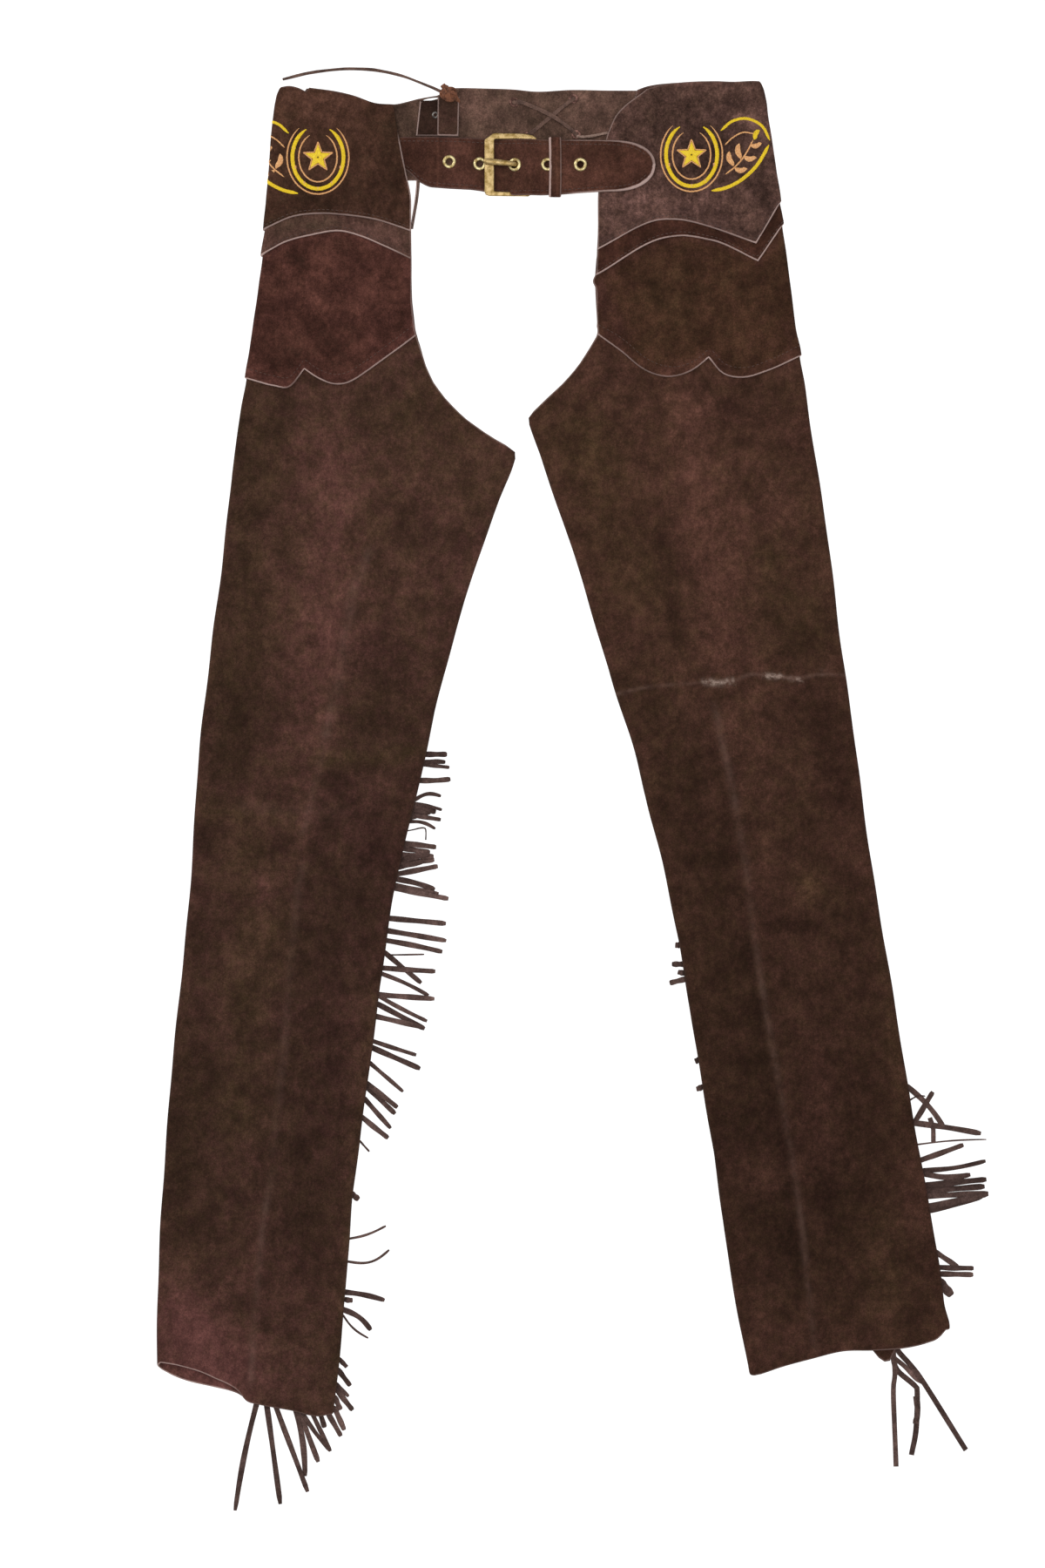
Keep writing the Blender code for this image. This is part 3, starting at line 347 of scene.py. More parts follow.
def makeThread(name, bright, dark):
    # twisted embroidery or sewing thread: fine plies and a soft shine
    material, tree, shader = newMaterial(name, {"Roughness": 0.45, "Specular IOR Level": 0.4})
    plies = noise(tree, objectPlace(tree), 1500.0, 2.0, 0.6)
    colour = twoTones(tree, remap(tree, plies, 0.35, 0.65, 0.0, 1.0), dark, bright)
    colourAndBump(tree, shader, colour, 0.4, 0.0001, plies)
    return material


def makeMetal(name, bright, dark, roughness, dents):
    # cast metal with a darker skin in its hollows
    material, tree, shader = newMaterial(name, {"Metallic": 1.0})
    clouds = noise(tree, objectPlace(tree), 260.0, 5.0, 0.65)
    fine = noise(tree, objectPlace(tree), 2200.0, 3.0, 0.6)
    colour = twoTones(tree, remap(tree, clouds, 0.35, 0.62, 0.0, 1.0), dark, bright)
    tree.links.new(remap(tree, clouds, 0.3, 0.7, roughness + 0.18, roughness), shader.inputs["Roughness"])
    colourAndBump(tree, shader, colour, 0.35, dents, fine)
    return material


def makeLeather(name, bright, dark, grain, roughness):
    # plain cut leather with pores
    material, tree, shader = newMaterial(name, {"Specular IOR Level": 0.25})
    clouds = noise(tree, objectPlace(tree), 120.0, 5.0, 0.7)
    pores = noise(tree, objectPlace(tree), grain, 4.0, 0.7)
    both = weighted(tree, (clouds, 0.6), (pores, 0.4))
    colour = twoTones(tree, remap(tree, both, 0.38, 0.62, 0.0, 1.0), dark, bright)
    tree.links.new(remap(tree, pores, 0.3, 0.7, roughness, roughness + 0.15), shader.inputs["Roughness"])
    colourAndBump(tree, shader, colour, 0.5, 0.0003, pores)
    return material


goldThread = makeThread("goldThread", (243, 212, 26), (212, 174, 12))
tanThread = makeThread("tanThread", (236, 184, 126), (200, 138, 84))
brownThread = makeThread("brownThread", (86, 61, 52), (60, 42, 34))
brassMetal = makeMetal("antiqueBrass", (190, 164, 116), (150, 124, 72), 0.36, 0.00012)
eyeletMetal = makeMetal("eyeletBrass", (214, 199, 150), (150, 126, 78), 0.28, 0.00005)
copperMetal = makeMetal("copperRing", (132, 98, 88), (78, 56, 50), 0.5, 0.00005)
greyMetal = makeMetal("greyRing", (132, 126, 120), (70, 64, 60), 0.45, 0.00005)
laceLeather = makeLeather("laceLeather", (106, 80, 69), (66, 48, 41), 900.0, 0.75)
paleLace = makeLeather("paleLace", (150, 124, 112), (100, 78, 67), 900.0, 0.75)
knotLeather = makeLeather("knotLeather", (128, 80, 56), (70, 42, 29), 700.0, 0.7)
print("materials made")


# legs and hips: sizes
leather = {
    "suede": 1.3, "seamGap": 0.3, "lapWidth": 4.8, "lapRamp": 3.6, "lapMargin": 1.5,
    "foldHeight": 6.4, "panelHeight": 5.0, "foldEase": 20.0, "edgeStrip": 0.9, "foldTurn": 30.0,
    "roll": 1.1, "edgeShare": 0.35, "foldRamp": 20.0, "patchStrength": 1.3,
}
lapStep = leather["suede"] + leather["seamGap"]
fringeSeat = {"lift": 2.0, "liftStart": 78.0, "liftFull": 48.0, "liftBlend": 0.14}

# Sections are: y, outer fold, inner edge, and the back panel's inner edge where that is elsewhere.
# Edges are: share of the way from the outer fold to the inner edge, y, and 1 at a sharp point.
# Creases are: points they run through, height, half width, rub and scuff.
# Patches are: points they run through, half width, tone, and lean to warm (1) or olive (-1). The narrow dark
# ones in or beside a crease are painted shade.
# The glow is how pale each raw edge is, from the outer fold to the inner edge. A bump stands out of
# the inner edge and a flare out of the outer fold: y, half height and reach.
sides = {}
sides["left"] = {
    "name": "left",
    "towardInner": 1,
    "cornerDrop": 5.5,
    "sideLight": 0.66,
    "edgeFadeFrom": 510,
    "edgeFadeBeyond": -160,
    "panelWidth": 92,
    "sections": (
        (547, -225, -140, -148), (531, -228, -137, -147), (504, -231, -133, -142), (481, -233, -129, -137),
        (461, -235, -126, -131), (439, -236, -124), (381, -242, -123), (358, -245, -121), (345, -247, -117),
        (331, -249, -113), (318, -251, -107), (305, -253, -97), (291, -255, -83), (278, -257, -65),
        (265, -259, -43), (251, -261, -47), (211, -265, -63), (171, -269, -77), (131, -275, -89),
        (91, -280, -100), (51, -285, -109), (11, -288, -117), (-29, -290, -128), (-69, -293, -137),
        (-149, -301, -148), (-229, -309, -159), (-309, -315, -169), (-389, -318, -175), (-472, -319, -183),
    ),
    "hipTop": (
        (0, 543.8), (0.06, 544.6), (0.15, 543.2), (0.225, 540.4, 1), (0.25, 543.4, 1), (0.5, 540.6),
        (0.66, 537.4), (0.84, 531.8), (1, 530.7),
    ),
    "hipEdge": ((0, 436), (0.16, 444), (0.36, 446.7), (0.5, 446), (0.755, 442), (1, 433.3)),
    "bandEdge": (
        (0, 416.7), (0.125, 424.7), (0.32, 430.6), (0.5, 433.4), (0.66, 429), (0.81, 422), (1, 412),
    ),
    "thighEdge": (
        (0, 320), (0.14, 315), (0.22, 314.4), (0.303, 328, 1), (0.37, 321.5), (0.45, 316.8), (0.53, 317.4),
        (0.66, 326.8), (0.8, 338.4), (1, 354),
    ),
    "hemFront": (
        (0, -430.7), (0.093, -432.9), (0.233, -438.3), (0.32, -443.1), (0.39, -447.1), (0.45, -451.9),
        (0.504, -459.7), (0.574, -462.5), (0.777, -467.3), (0.935, -471.6), (1, -470),
    ),
    "hemBack": (
        (0, -436.5), (0.075, -441.7), (0.163, -445.8), (0.32, -450), (0.4, -452.4), (0.45, -454.6),
        (0.504, -458.5), (0.574, -460.5), (0.777, -466.3), (1, -469),
    ),
    "closedFrom": 265,
    "levels": (300, -395, 5),
    "fineLevels": None,
    "liftFrom": 0.2,
    "creases": (
        (((-156, 189), (-167, 160), (-173, 133), (-176.5, 107), (-182, 77), (-188, 51)), 0.8, 4.2, 0.15, 0),
        (((-188, 51), (-197, 10), (-206, -25)), 0.4, 3, 0.1, 0),
        (((-206, -50), (-211, -77), (-217, -145), (-222, -202), (-229, -270)), 0.9, 3.4, 0.09, 0),
        (((-229, -285), (-237, -327), (-243, -396), (-246, -447)), 1, 2.8, 0.17, 0),
        (((-250, -6), (-228, -9), (-205, -12), (-175, -10)), 0.35, 5, 0.06, 0),
        (((-240, -22), (-205, -25), (-160, -20)), -0.3, 6, 0, 0),
        (((-262, -60), (-215, -84), (-170, -78)), 0.3, 8, 0, 0),
        (((-110, 290), (-150, 250), (-205, 240)), 0.4, 12, 0, 0),
        (((-292, -250), (-270, -300), (-268, -380)), -0.35, 9, 0, 0),
    ),
    "patches": (
        (((-182, 262), (-184, 225), (-187, 180), (-188, 130), (-190, 95), (-194, 50)), 22, 0.2, 0.3),
        (((-182, 255), (-180, 245)), 10, 0.1, 0.1), (((-190, 60), (-200, 20), (-205, -5)), 12, 0.12, 0.1),
        (((-245, 295), (-250, 230), (-255, 160), (-258, 90), (-258, 40)), 22, -0.16, -0.35),
        (((-120, 285), (-100, 262), (-75, 240)), 30, 0.06, -0.35),
        (((-150, 300), (-135, 288)), 16, -0.1, -0.2), (((-150, 215), (-120, 205)), 20, -0.04, -0.15),
        (((-150, 120), (-140, 90), (-128, 60)), 22, -0.14, -0.2),
        (((-165, 70), (-160, 40)), 16, -0.12, -0.1), (((-156, 118), (-150, 112)), 10, 0.07, 0.3),
        (((-192, 28), (-150, 32), (-118, 36)), 8, 0.12, -0.7),
        (((-282, -8), (-250, -12), (-215, -16)), 8, 0.12, -0.4), (((-206, -15), (-201, -14)), 6, 0.22, 0.3),
        (((-172, -10), (-150, -30), (-145, -60), (-155, -100)), 22, -0.18, 0.1),
        (((-284, -30), (-280, -38)), 9, -0.2, 0), (((-285, -80), (-288, -130)), 12, -0.08, 0),
        (((-245, -45), (-238, -100), (-248, -140)), 22, 0.1, -0.5),
        (((-238, -65), (-236, -75)), 10, 0.08, 0.6),
        (((-186, -60), (-190, -150), (-196, -250), (-204, -350)), 20, -0.17, 0),
        (((-262, -220), (-268, -300), (-270, -350)), 5, 0.06, -0.1),
        (((-238, -300), (-243, -340), (-246, -380)), 6, 0.1, 0.1),
        # painted shade: the next patch is a dark line beside the shin crease, on its shaded side
        (((-199, -30), (-207, -90), (-213, -160), (-219, -230), (-229, -320), (-237, -420)), 5, -0.06, 0),
        (((-152, -150), (-160, -210), (-168, -300), (-177, -400)), 5, 0.14, -0.4),
        (((-290, -190), (-296, -260), (-280, -330)), 20, -0.1, -0.2),
        (((-250, -150), (-256, -250)), 14, -0.02, -0.4),
        (((-300, -395), (-285, -425), (-270, -440)), 30, 0.22, 0.9),
        (((-298, -380), (-292, -410)), 8, 0.08, 0),
        (((-312, -438), (-290, -442), (-266, -450)), 5, 0.34, 0),
        (((-220, -445), (-200, -440)), 22, 0.05, 0.3), (((-178, -420), (-185, -460)), 12, -0.02, -0.4),
        (((-222, 536), (-190, 528)), 16, 0.26, 0.2), (((-175, 515), (-165, 500)), 14, 0.12, 0.3),
        (((-150, 508), (-147, 502)), 8, 0.12, -0.1), (((-143, 482), (-138, 470)), 14, -0.16, -0.1),
        (((-225, 457), (-190, 456), (-160, 460)), 14, -0.22, -0.1),
        (((-128, 515), (-125, 500)), 12, 0.05, -0.7), (((-230, 437), (-185, 440)), 6, 0.1, -0.7),
        (((-165, 436), (-135, 426)), 6, 0.14, 0.5), (((-209, 413), (-207, 410)), 7, -0.22, -0.4),
        (((-197, 405), (-196, 375)), 8, 0.12, 0.1), (((-229, 375), (-232, 355)), 9, 0.12, 0.1),
        (((-228, 345), (-212, 335)), 16, -0.2, -0.2), (((-160, 400), (-150, 350)), 22, 0.06, 0.2),
        (((-178, 395), (-180, 350)), 8, -0.08, 0),
    ),
    # painted light: the nap is lighter towards the thighs and darker down the shins, as the light falls off
    # towards the hem
    "paintedLightByHeight": (
        (-470, 0), (-400, -0.06), (-300, -0.16), (-150, -0.1), (-60, -0.11), (40, -0.11), (100, -0.03),
        (150, 0.06), (300, 0.04), (350, 0), (545, 0),
    ),
    "glow": {
        "hem": ((0, 0.7), (0.3, 0.65), (0.42, 0.4), (0.5, 0.12), (1, 0.12)),
        "hipEdge": ((0, 0.75), (0.2, 0.65), (0.5, 0.5), (0.85, 0.6), (1, 0.75)),
        "bandEdge": ((0, 1.1), (0.2, 1.2), (0.5, 1.3), (0.7, 1.1), (0.85, 0.8), (0.95, 0.4), (1, 0.35)),
        "thighEdge": (
            (0, 1), (0.16, 1), (0.2, 0.35), (0.26, 0.3), (0.3, 1), (0.37, 0.85), (0.46, 0.7), (0.55, 0.65),
            (0.7, 0.7), (0.85, 0.9), (1, 0.6),
        ),
    },
    "creaseShares": (0.49, 0.6),
    "bump": (460, 16, 2),
    "flare": (0, 1, 0),
}
sides["right"] = {
    "name": "right",
    "towardInner": -1,
    "cornerDrop": 6,
    "sideLight": 0.34,
    "edgeFadeFrom": 560,
    "edgeFadeBeyond": 0,
    "panelWidth": 128,
    "sections": (
        (549, 144, 63, 51), (540, 146, 54, 49), (532, 148, 42, 47), (523, 149, 33, 44), (507, 152, 26, 39),
        (485, 155, 21, 33), (461, 158, 19, 26), (439, 161, 19), (399, 165, 17), (355, 171, 19),
        (345, 173, 13), (331, 175, 4), (318, 177, -7), (305, 179, -21), (291, 181, -35), (278, 183, -31),
        (238, 189, -17), (198, 195, -3), (158, 200, 10), (118, 205, 21), (78, 211, 33), (38, 216, 47),
        (-2, 221, 56), (-42, 227, 67), (-122, 240, 83), (-202, 253, 96), (-282, 267, 109), (-362, 281, 120),
        (-442, 289, 135),
    ),
    "hipTop": (
        (0, 548.2), (0.05, 548.4), (0.24, 547.9), (0.42, 548.4), (0.74, 547.4), (0.925, 545), (1, 542.3),
    ),
    "hipEdge": ((0, 451.3), (0.137, 424, 1), (0.414, 437.8), (0.55, 442), (0.7, 440.7), (1, 419.3)),
    "bandEdge": (
        (0, 434.7), (0.137, 410.4, 1), (0.337, 424.6), (0.414, 427.3), (0.475, 429), (0.55, 429.8),
        (0.7, 425.3), (1, 399.3),
    ),
    "thighEdge": (
        (0, 336.7), (0.15, 326), (0.24, 321.6), (0.337, 324.7), (0.414, 336.7, 1), (0.475, 327),
        (0.55, 322.3), (0.615, 323.2), (0.7, 328.3), (0.835, 341.3), (1, 354.7),
    ),
    "hemFront": (
        (0, -405.5), (0.03, -411.6), (0.08, -415.2), (0.195, -419.4), (0.358, -421.4), (0.52, -422.1),
        (0.685, -427.7), (0.85, -434), (0.97, -439.5), (1, -440.3),
    ),
    "hemBack": (
        (0, -405), (0.03, -410.6), (0.08, -413.8), (0.22, -418.6), (0.25, -420.5, 1), (0.285, -430, 1),
        (0.325, -430.6, 1), (0.37, -421, 1), (0.52, -421), (0.7, -427), (0.92, -437), (1, -439),
    ),
    "closedFrom": 291,
    "levels": (306, -366, 5),
    "fineLevels": (76, 98, 1),
    "liftFrom": None,
    "creases": (
        (((108, 70), (121, 9), (132, -52)), 0.9, 3.2, 0.16, 0),
        (((132, -52), (141, -123), (151, -184), (163, -251)), 0.9, 2.8, 0.17, 0),
        (((163, -251), (173, -311), (179, -371), (185, -421)), 0.9, 2.6, 0.15, 0),
        (((33, 80), (57, 85.3), (100, 89), (121, 90), (135, 95), (146.5, 94), (158, 93.6), (170, 91.6),
          (186, 94.5), (209, 94.8)), 1, 1.4, 0.3, 0),
        (((101, 89.4), (111, 88.6), (121, 89.8)), 0.5, 2.3, 0.4, 0.62),
        (((147, 93.8), (158, 93.4)), 0.4, 1.9, 0.3, 0.75), (((167, 91.6), (173, 90.6)), 0.4, 1.7, 0.3, 0.6),
        (((189, 98.6), (197, 99.4)), 0.3, 1.2, 0.3, 0), (((60, 98), (105, 103), (150, 105)), -0.5, 5, 0, 0),
        (((35, 60), (80, 66), (140, 72)), -0.4, 7, 0, 0),
        (((60, 285), (68, 215), (78, 150), (84, 112)), -0.45, 5, 0, 0),
        (((20, 270), (60, 230), (95, 180)), 0.4, 12, 0, 0), (((146, -98), (182, -94)), -0.4, 5, 0, 0),
        (((230, -80), (205, -150), (215, -230)), -0.35, 9, 0, 0),
    ),
    "patches": (
        (((88, 300), (95, 255), (104, 210), (112, 165), (118, 125)), 22, 0.18, 0.3),
        (((90, 305), (94, 280)), 8, 0.1, 0), (((154, 220), (150, 212)), 16, 0.14, 0.6),
        # painted shade: the next patch is a dark line down the trough crease on the thigh
        (((58, 285), (66, 215), (76, 150), (83, 115)), 8, -0.16, -0.1),
        (((10, 280), (25, 220), (48, 170)), 26, 0, -0.6), (((44, 148), (50, 142)), 14, 0.14, 0),
        (((120, 300), (150, 290), (165, 275)), 24, -0.16, 0.2), (((149, 197), (150, 185)), 14, -0.08, -0.7),
        (((165, 150), (180, 120)), 22, -0.14, -0.4), (((157, 87), (140, 76), (116, 65)), 5, 0.22, 0),
        (((40, 88), (60, 60), (85, 20), (98, -30), (105, -70)), 20, -0.15, -0.2),
        (((185, 75), (200, 40), (205, 10)), 18, -0.18, 0),
        (((130, 55), (140, 10), (150, -40)), 14, 0.12, -0.1), (((180, -60), (186, -72)), 16, 0.2, -0.7),
        # painted shade: the second patch on the next line is a dark line in the trough crease on the shin
        (((160, -20), (175, -10)), 14, 0.08, -0.4), (((148, -97), (180, -94)), 6, -0.28, 0),
        (((232, -100), (240, -150), (250, -235)), 7, 0.2, -0.3),
        (((258, -285), (262, -310)), 14, 0.26, 0.3), (((190, -295), (205, -340)), 14, -0.13, -0.1),
        (((150, -315), (165, -345)), 14, -0.12, 0), (((235, -330), (240, -370)), 22, 0.16, -0.4),
        (((215, -410), (240, -400)), 14, 0.1, 0.1), (((150, -400), (165, -415)), 14, 0.06, 0.1),
        (((122, -110), (130, -170), (140, -250)), 18, -0.14, -0.1),
        (((175, -130), (185, -200), (190, -260)), 16, 0.05, 0.2),
        (((150, -280), (150, -300)), 14, 0.04, 0.1),
        (((200, -150), (215, -230), (212, -280)), 14, -0.08, 0.1),
        # painted shadow: the next patch is a dark line along the left side of the raised shin crease
        (((101, 60), (114, 10), (125, -50), (135, -118), (145, -184), (157, -251), (167, -311),
          (174, -371)), 5, -0.12, 0), (((92, 541), (115, 543), (138, 541)), 5, 0.14, 0),
        (((60, 533), (80, 528), (100, 531)), 9, -0.2, -0.1), (((50, 510), (62, 520)), 12, -0.16, -0.2),
        (((112, 526), (140, 518)), 8, 0.1, 0), (((28, 456), (60, 458), (70, 450)), 10, 0.24, 0.1),
        (((82, 456), (110, 452)), 9, 0.16, 0.1), (((130, 448), (150, 440)), 14, 0.1, -0.2),
        (((98, 462), (106, 458)), 6, -0.14, 0), (((120, 438), (128, 432)), 6, -0.12, 0),
        (((40, 425), (60, 432), (100, 432), (120, 420)), 5, -0.08, 0.1),
        (((22, 385), (35, 360)), 10, 0, 0.8), (((160, 380), (165, 345)), 12, -0.05, 0.4),
        (((80, 380), (120, 370)), 30, 0.03, -0.2), (((88, 488), (105, 492), (125, 486)), 16, -0.24, -0.2),
        (((30, 400), (45, 390)), 8, 0.06, 0.3), (((50, 470), (60, 462)), 12, 0.1, 0.2),
        (((135, 470), (150, 465)), 12, -0.16, 0),
    ),
    # painted light: the nap is lighter towards the thighs and darker down the shins, as the light falls off
    # towards the hem
    "paintedLightByHeight": (
        (-440, -0.08), (-400, -0.12), (-350, -0.27), (-200, -0.22), (-50, -0.1), (60, 0.02), (150, 0.14),
        (260, 0.2), (330, 0.14), (380, 0), (545, 0),
    ),
    "glow": {
        "hem": ((0, 0.35), (0.25, 0.2), (0.6, 0.12), (1, 0.2)),
        "hipEdge": (
            (0, 0.9), (0.1, 0.85), (0.137, 1.1), (0.2, 0.65), (0.3, 0.55), (0.45, 0.6), (0.6, 0.75),
            (0.8, 0.75), (0.92, 1), (1, 1),
        ),
        "bandEdge": (
            (0, 0.95), (0.12, 1), (0.137, 1.15), (0.25, 0.85), (0.6, 0.9), (0.8, 1.15), (0.92, 1),
            (1, 0.85),
        ),
        "thighEdge": (
            (0, 0.9), (0.1, 0.8), (0.25, 0.75), (0.33, 0.65), (0.39, 0.5), (0.414, 1.1), (0.44, 0.6),
            (0.5, 0.4), (0.68, 0.32), (0.8, 0.4), (0.88, 0.55), (1, 0.7),
        ),
    },
    "creaseShares": (0.57, 0.67),
    "bump": (395.5, 4, 2.4),
    "flare": (-402, 11, 3.2),
}


# every point of a panel's outer side is found from its face, its place on it and its height y
def mix(start, end, share):
    return start + (end - start) * share


def smooth(value):
    value = np.clip(value, 0.0, 1.0)
    return value * value * (3 - 2 * value)


def bell(distance, width):
    return np.exp(-((distance / width) ** 2))


def unit(vectors):
    return vectors / np.maximum(np.linalg.norm(vectors, axis=-1, keepdims=True), 1e-9)


def pathLengths(line):
    return np.concatenate(([0], np.cumsum(np.linalg.norm(np.diff(line, axis=0), axis=1))))


def easeThrough(points, at):
    # a soft curve through the rows (x, y), with corners kept at rows that also have a 1
    xs, ys = (np.array([row[i] for row in points], float) for i in (0, 1))
    sharp = np.array([len(row) > 2 for row in points])
    chord = np.diff(ys) / np.diff(xs)
    before = np.concatenate(([chord[0]], chord))
    after = np.concatenate((chord, [chord[-1]]))
    mean = (before + after) / 2
    leaving = np.where(sharp, after, mean)
    arriving = np.where(sharp, before, mean)
    at = np.clip(at, xs[0], xs[-1])
    index = np.clip(np.searchsorted(xs, at, "right") - 1, 0, len(xs) - 2)
    width = xs[index + 1] - xs[index]
    t = (at - xs[index]) / width
    level = (1 + 2 * t) * (1 - t) ** 2 * ys[index] + t * t * (3 - 2 * t) * ys[index + 1]
    turn = t * (1 - t) ** 2 * leaving[index] - t * t * (1 - t) * arriving[index + 1]
    return float(level + width * turn)


def blur(values, width):
    reach = int(width * 3)
    kernel = np.exp(-0.5 * (np.arange(-reach, reach + 1) / width) ** 2)
    padded = np.pad(values, reach, mode="reflect", reflect_type="odd")
    return np.convolve(padded, kernel / kernel.sum(), mode="valid")


outlineSoft = {"lower": 13.0, "upper": 2.0, "from": 205.0, "over": 40.0, "wobble": 0.5, "runOn": 20.0}
fineY = np.arange(-490.0, 560.0, 1.0)


def outlineOf(side, column, swell, sign):
    # one outline column of the section table, softened between its rows, crisp round the crotch
    rows = sorted(side["sections"])
    ys = np.array([row[0] for row in rows], float)
    xs = np.array([row[min(column, len(row) - 1)] for row in rows], float)
    runOn = outlineSoft["runOn"]
    first, last = (xs[1] - xs[0]) / (ys[1] - ys[0]), (xs[-1] - xs[-2]) / (ys[-1] - ys[-2])
    xs = [xs[0] - first * runOn, *xs, xs[-1] + last * runOn]
    raw = np.interp(fineY, [ys[0] - runOn, *ys, ys[-1] + runOn], xs)
    share = np.clip((fineY - outlineSoft["from"]) / outlineSoft["over"], 0, 1)
    soft = mix(blur(raw, outlineSoft["lower"]), blur(raw, outlineSoft["upper"]), share)
    if swell:
        y, reach, out = side[swell]
        soft = soft + sign * side["towardInner"] * out * bell(fineY - y, reach)
    phase = column * 1.7 + side["towardInner"]
    return soft + outlineSoft["wobble"] * np.sin(fineY / 17 + phase) * np.sin(fineY / 43 + 2 * phase)


for side in sides.values():
    columns = (("outer", 1, "flare", -1), ("inner", 2, "bump", 1), ("innerBack", 3, None, 0))
    side["outlines"] = {name: outlineOf(side, *column) for name, *column in columns}


def outlineAt(side, name, y):
    return np.interp(y, fineY, side["outlines"][name])


def distanceTo(line, points):
    best = np.full(len(points), 1e9)
    for start, end in zip(line, line[1:]):
        along = end - start
        t = np.clip((points - start) @ along / max(along @ along, 1e-9), 0, 1)
        best = np.minimum(best, np.linalg.norm(points - start - t[:, None] * along, axis=1))
    return best


waves = [(dice.uniform(0.02, 0.11), dice.uniform(0, math.tau), dice.uniform(0, math.tau)) for _ in range(9)]


def ripple(x, y):
    # the slight unevenness of soft leather lying flat, calmer at the waist
    height = np.zeros_like(x)
    for rate, turn, phase in waves:
        along = x * math.cos(turn) + y * math.sin(turn)
        height += 0.055 * (0.11 / (rate + 0.03)) ** 0.5 * np.sin(rate * along + phase)
    return height * (0.35 + 0.65 * smooth((430 - y) / 40))


def softLine(points):
    # dense points on a smooth line through the given ones
    points = [np.array(point, float) for point in points]
    ends = [2 * points[0] - points[1], *points, 2 * points[-1] - points[-2]]
    fine = []
    for a, b, c, d in zip(ends, ends[1:], ends[2:], ends[3:]):
        for t in np.arange(12) / 12:
            bend = (c - a) * t + (2 * a - 5 * b + 4 * c - d) * t**2 + (3 * b - a - 3 * c + d) * t**3
            fine.append(b + bend / 2)
    fine.append(points[-1])
    return np.array(fine)


def resample(line, count):
    lengths = pathLengths(line)
    targets = np.linspace(0, lengths[-1], count)
    return np.stack([np.interp(targets, lengths, axis) for axis in line.T], axis=1)


def creaseField(side, x, y, part):
    # part 0 sums the heights, 1 the rub and 2 the scuff of the side's creases
    places = np.stack([x.ravel(), y.ravel()], axis=1)
    total = np.zeros(len(places))
    for points, height, halfWidth, *wear in side["creases"]:
        amount = (height, *wear)[part]
        if amount:
            near = bell(distanceTo(softLine(points), places), halfWidth)
            uneven = 0.75 + 0.25 * np.sin(places[:, 1] / 23 + places[:, 0] / 31 + len(points))
            total += amount * near * uneven
    return total.reshape(x.shape)


def patchField(rows, x, y):
    # tone and lean to warm of the light and dark patches of nap; on the legs, some dark lines among them are
    # painted shade in and beside creases
    places = np.stack([x.ravel(), y.ravel()], axis=1)
    tone, lean = np.zeros(len(places)), np.zeros(len(places))
    for points, halfWidth, amount, warmth in rows:
        near = bell(distanceTo(softLine(points)[::4], places), halfWidth)
        tone += amount * near
        lean += warmth * near
    return tone.reshape(x.shape), lean.reshape(x.shape)


def fractionOf(face, place):
    # share of the way from the outer fold to the inner edge
    return place if face in ("front", "back") else float(face != "outerFold")


def clothPoints(side, face, place, y, standOut=0.0, tuckIn=0.0, closed=False):
    # points of the outer surface down one column; closed says where the leg is a tube
    inward = side["towardInner"]
    radius = leather["foldHeight"] / 2
    y = np.asarray(y, float)
    closed = np.broadcast_to(closed, y.shape)
    onBack = face in ("back", "innerBack")
    foldX = outlineAt(side, "outer", y) + inward * radius
    innerX = outlineAt(side, "innerBack" if onBack else "inner", y)
    innerEnd = np.where(closed, innerX - inward * radius, innerX)
    along = smooth((fringeSeat["liftStart"] - y) / (fringeSeat["liftStart"] - fringeSeat["liftFull"]))
    lift = fringeSeat["lift"] * along
    if side["liftFrom"] is not None:
        lift = lift * smooth((fractionOf(face, place) - side["liftFrom"]) / fringeSeat["liftBlend"])
    if face == "outerFold":
        turned = place / 180
        reach = radius + standOut * (1 - turned) - tuckIn * turned
        angle = math.radians(place)
        x = foldX - inward * reach * math.sin(angle)
        z = radius + reach * math.cos(angle) + ripple(x, y) * max(0.0, math.cos(angle))
    elif face in ("innerFront", "innerBack"):
        angle = math.radians(place)
        cut = innerX - inward * leather["edgeStrip"] * abs(90 - place) / leather["foldTurn"]
        x = np.where(closed, innerEnd + inward * radius * math.sin(angle), cut)
        flat = tuckIn + 0 * y if onBack else leather["panelHeight"] + standOut + ripple(x, y)
        z = np.where(closed, radius + radius * math.cos(angle), flat)
    else:
        x = mix(foldX, innerEnd, place)
        if onBack:
            z = tuckIn + 0.3 * np.maximum(ripple(x, y), 0)
        else:
            sunk = 1 - np.exp(-np.abs(x - foldX) / leather["foldEase"])
            sunk *= np.where(closed, 1 - np.exp(-np.abs(x - innerEnd) / leather["foldEase"]), 1.0)
            z = mix(leather["foldHeight"], leather["panelHeight"], sunk) + standOut + ripple(x, y)
            z = z + creaseField(side, x, y, 0)
    return np.stack([x, y, lift + z], axis=1)


legDetail = {
    "frontColumns": 58, "backColumns": 34, "creaseColumns": 14, "hemRows": 16, "hemCrowd": 1.6,
    "topShares": 8, "sideLight": 0.3,
}
panelDetail = {"frontColumns": 46, "backColumns": 26, "rowStep": 5.0}
# distances from a free edge and from a tucked one at which an overlay has rows
edgeRows = (0, 0.3, 0.7, 1.1)
foldTurns = range(0, 181, 15)


def sharpShares(shares, corners):
    # rising shares with a close trio of columns at each sharp point of an edge
    kept = [share for share in shares if all(abs(share - corner) > 0.012 for corner in corners)]
    return sorted([*kept, *(corner + step for corner in corners for step in (-0.006, 0.0, 0.006))])


def onFace(face, places):
    return [(face, place) for place in places]


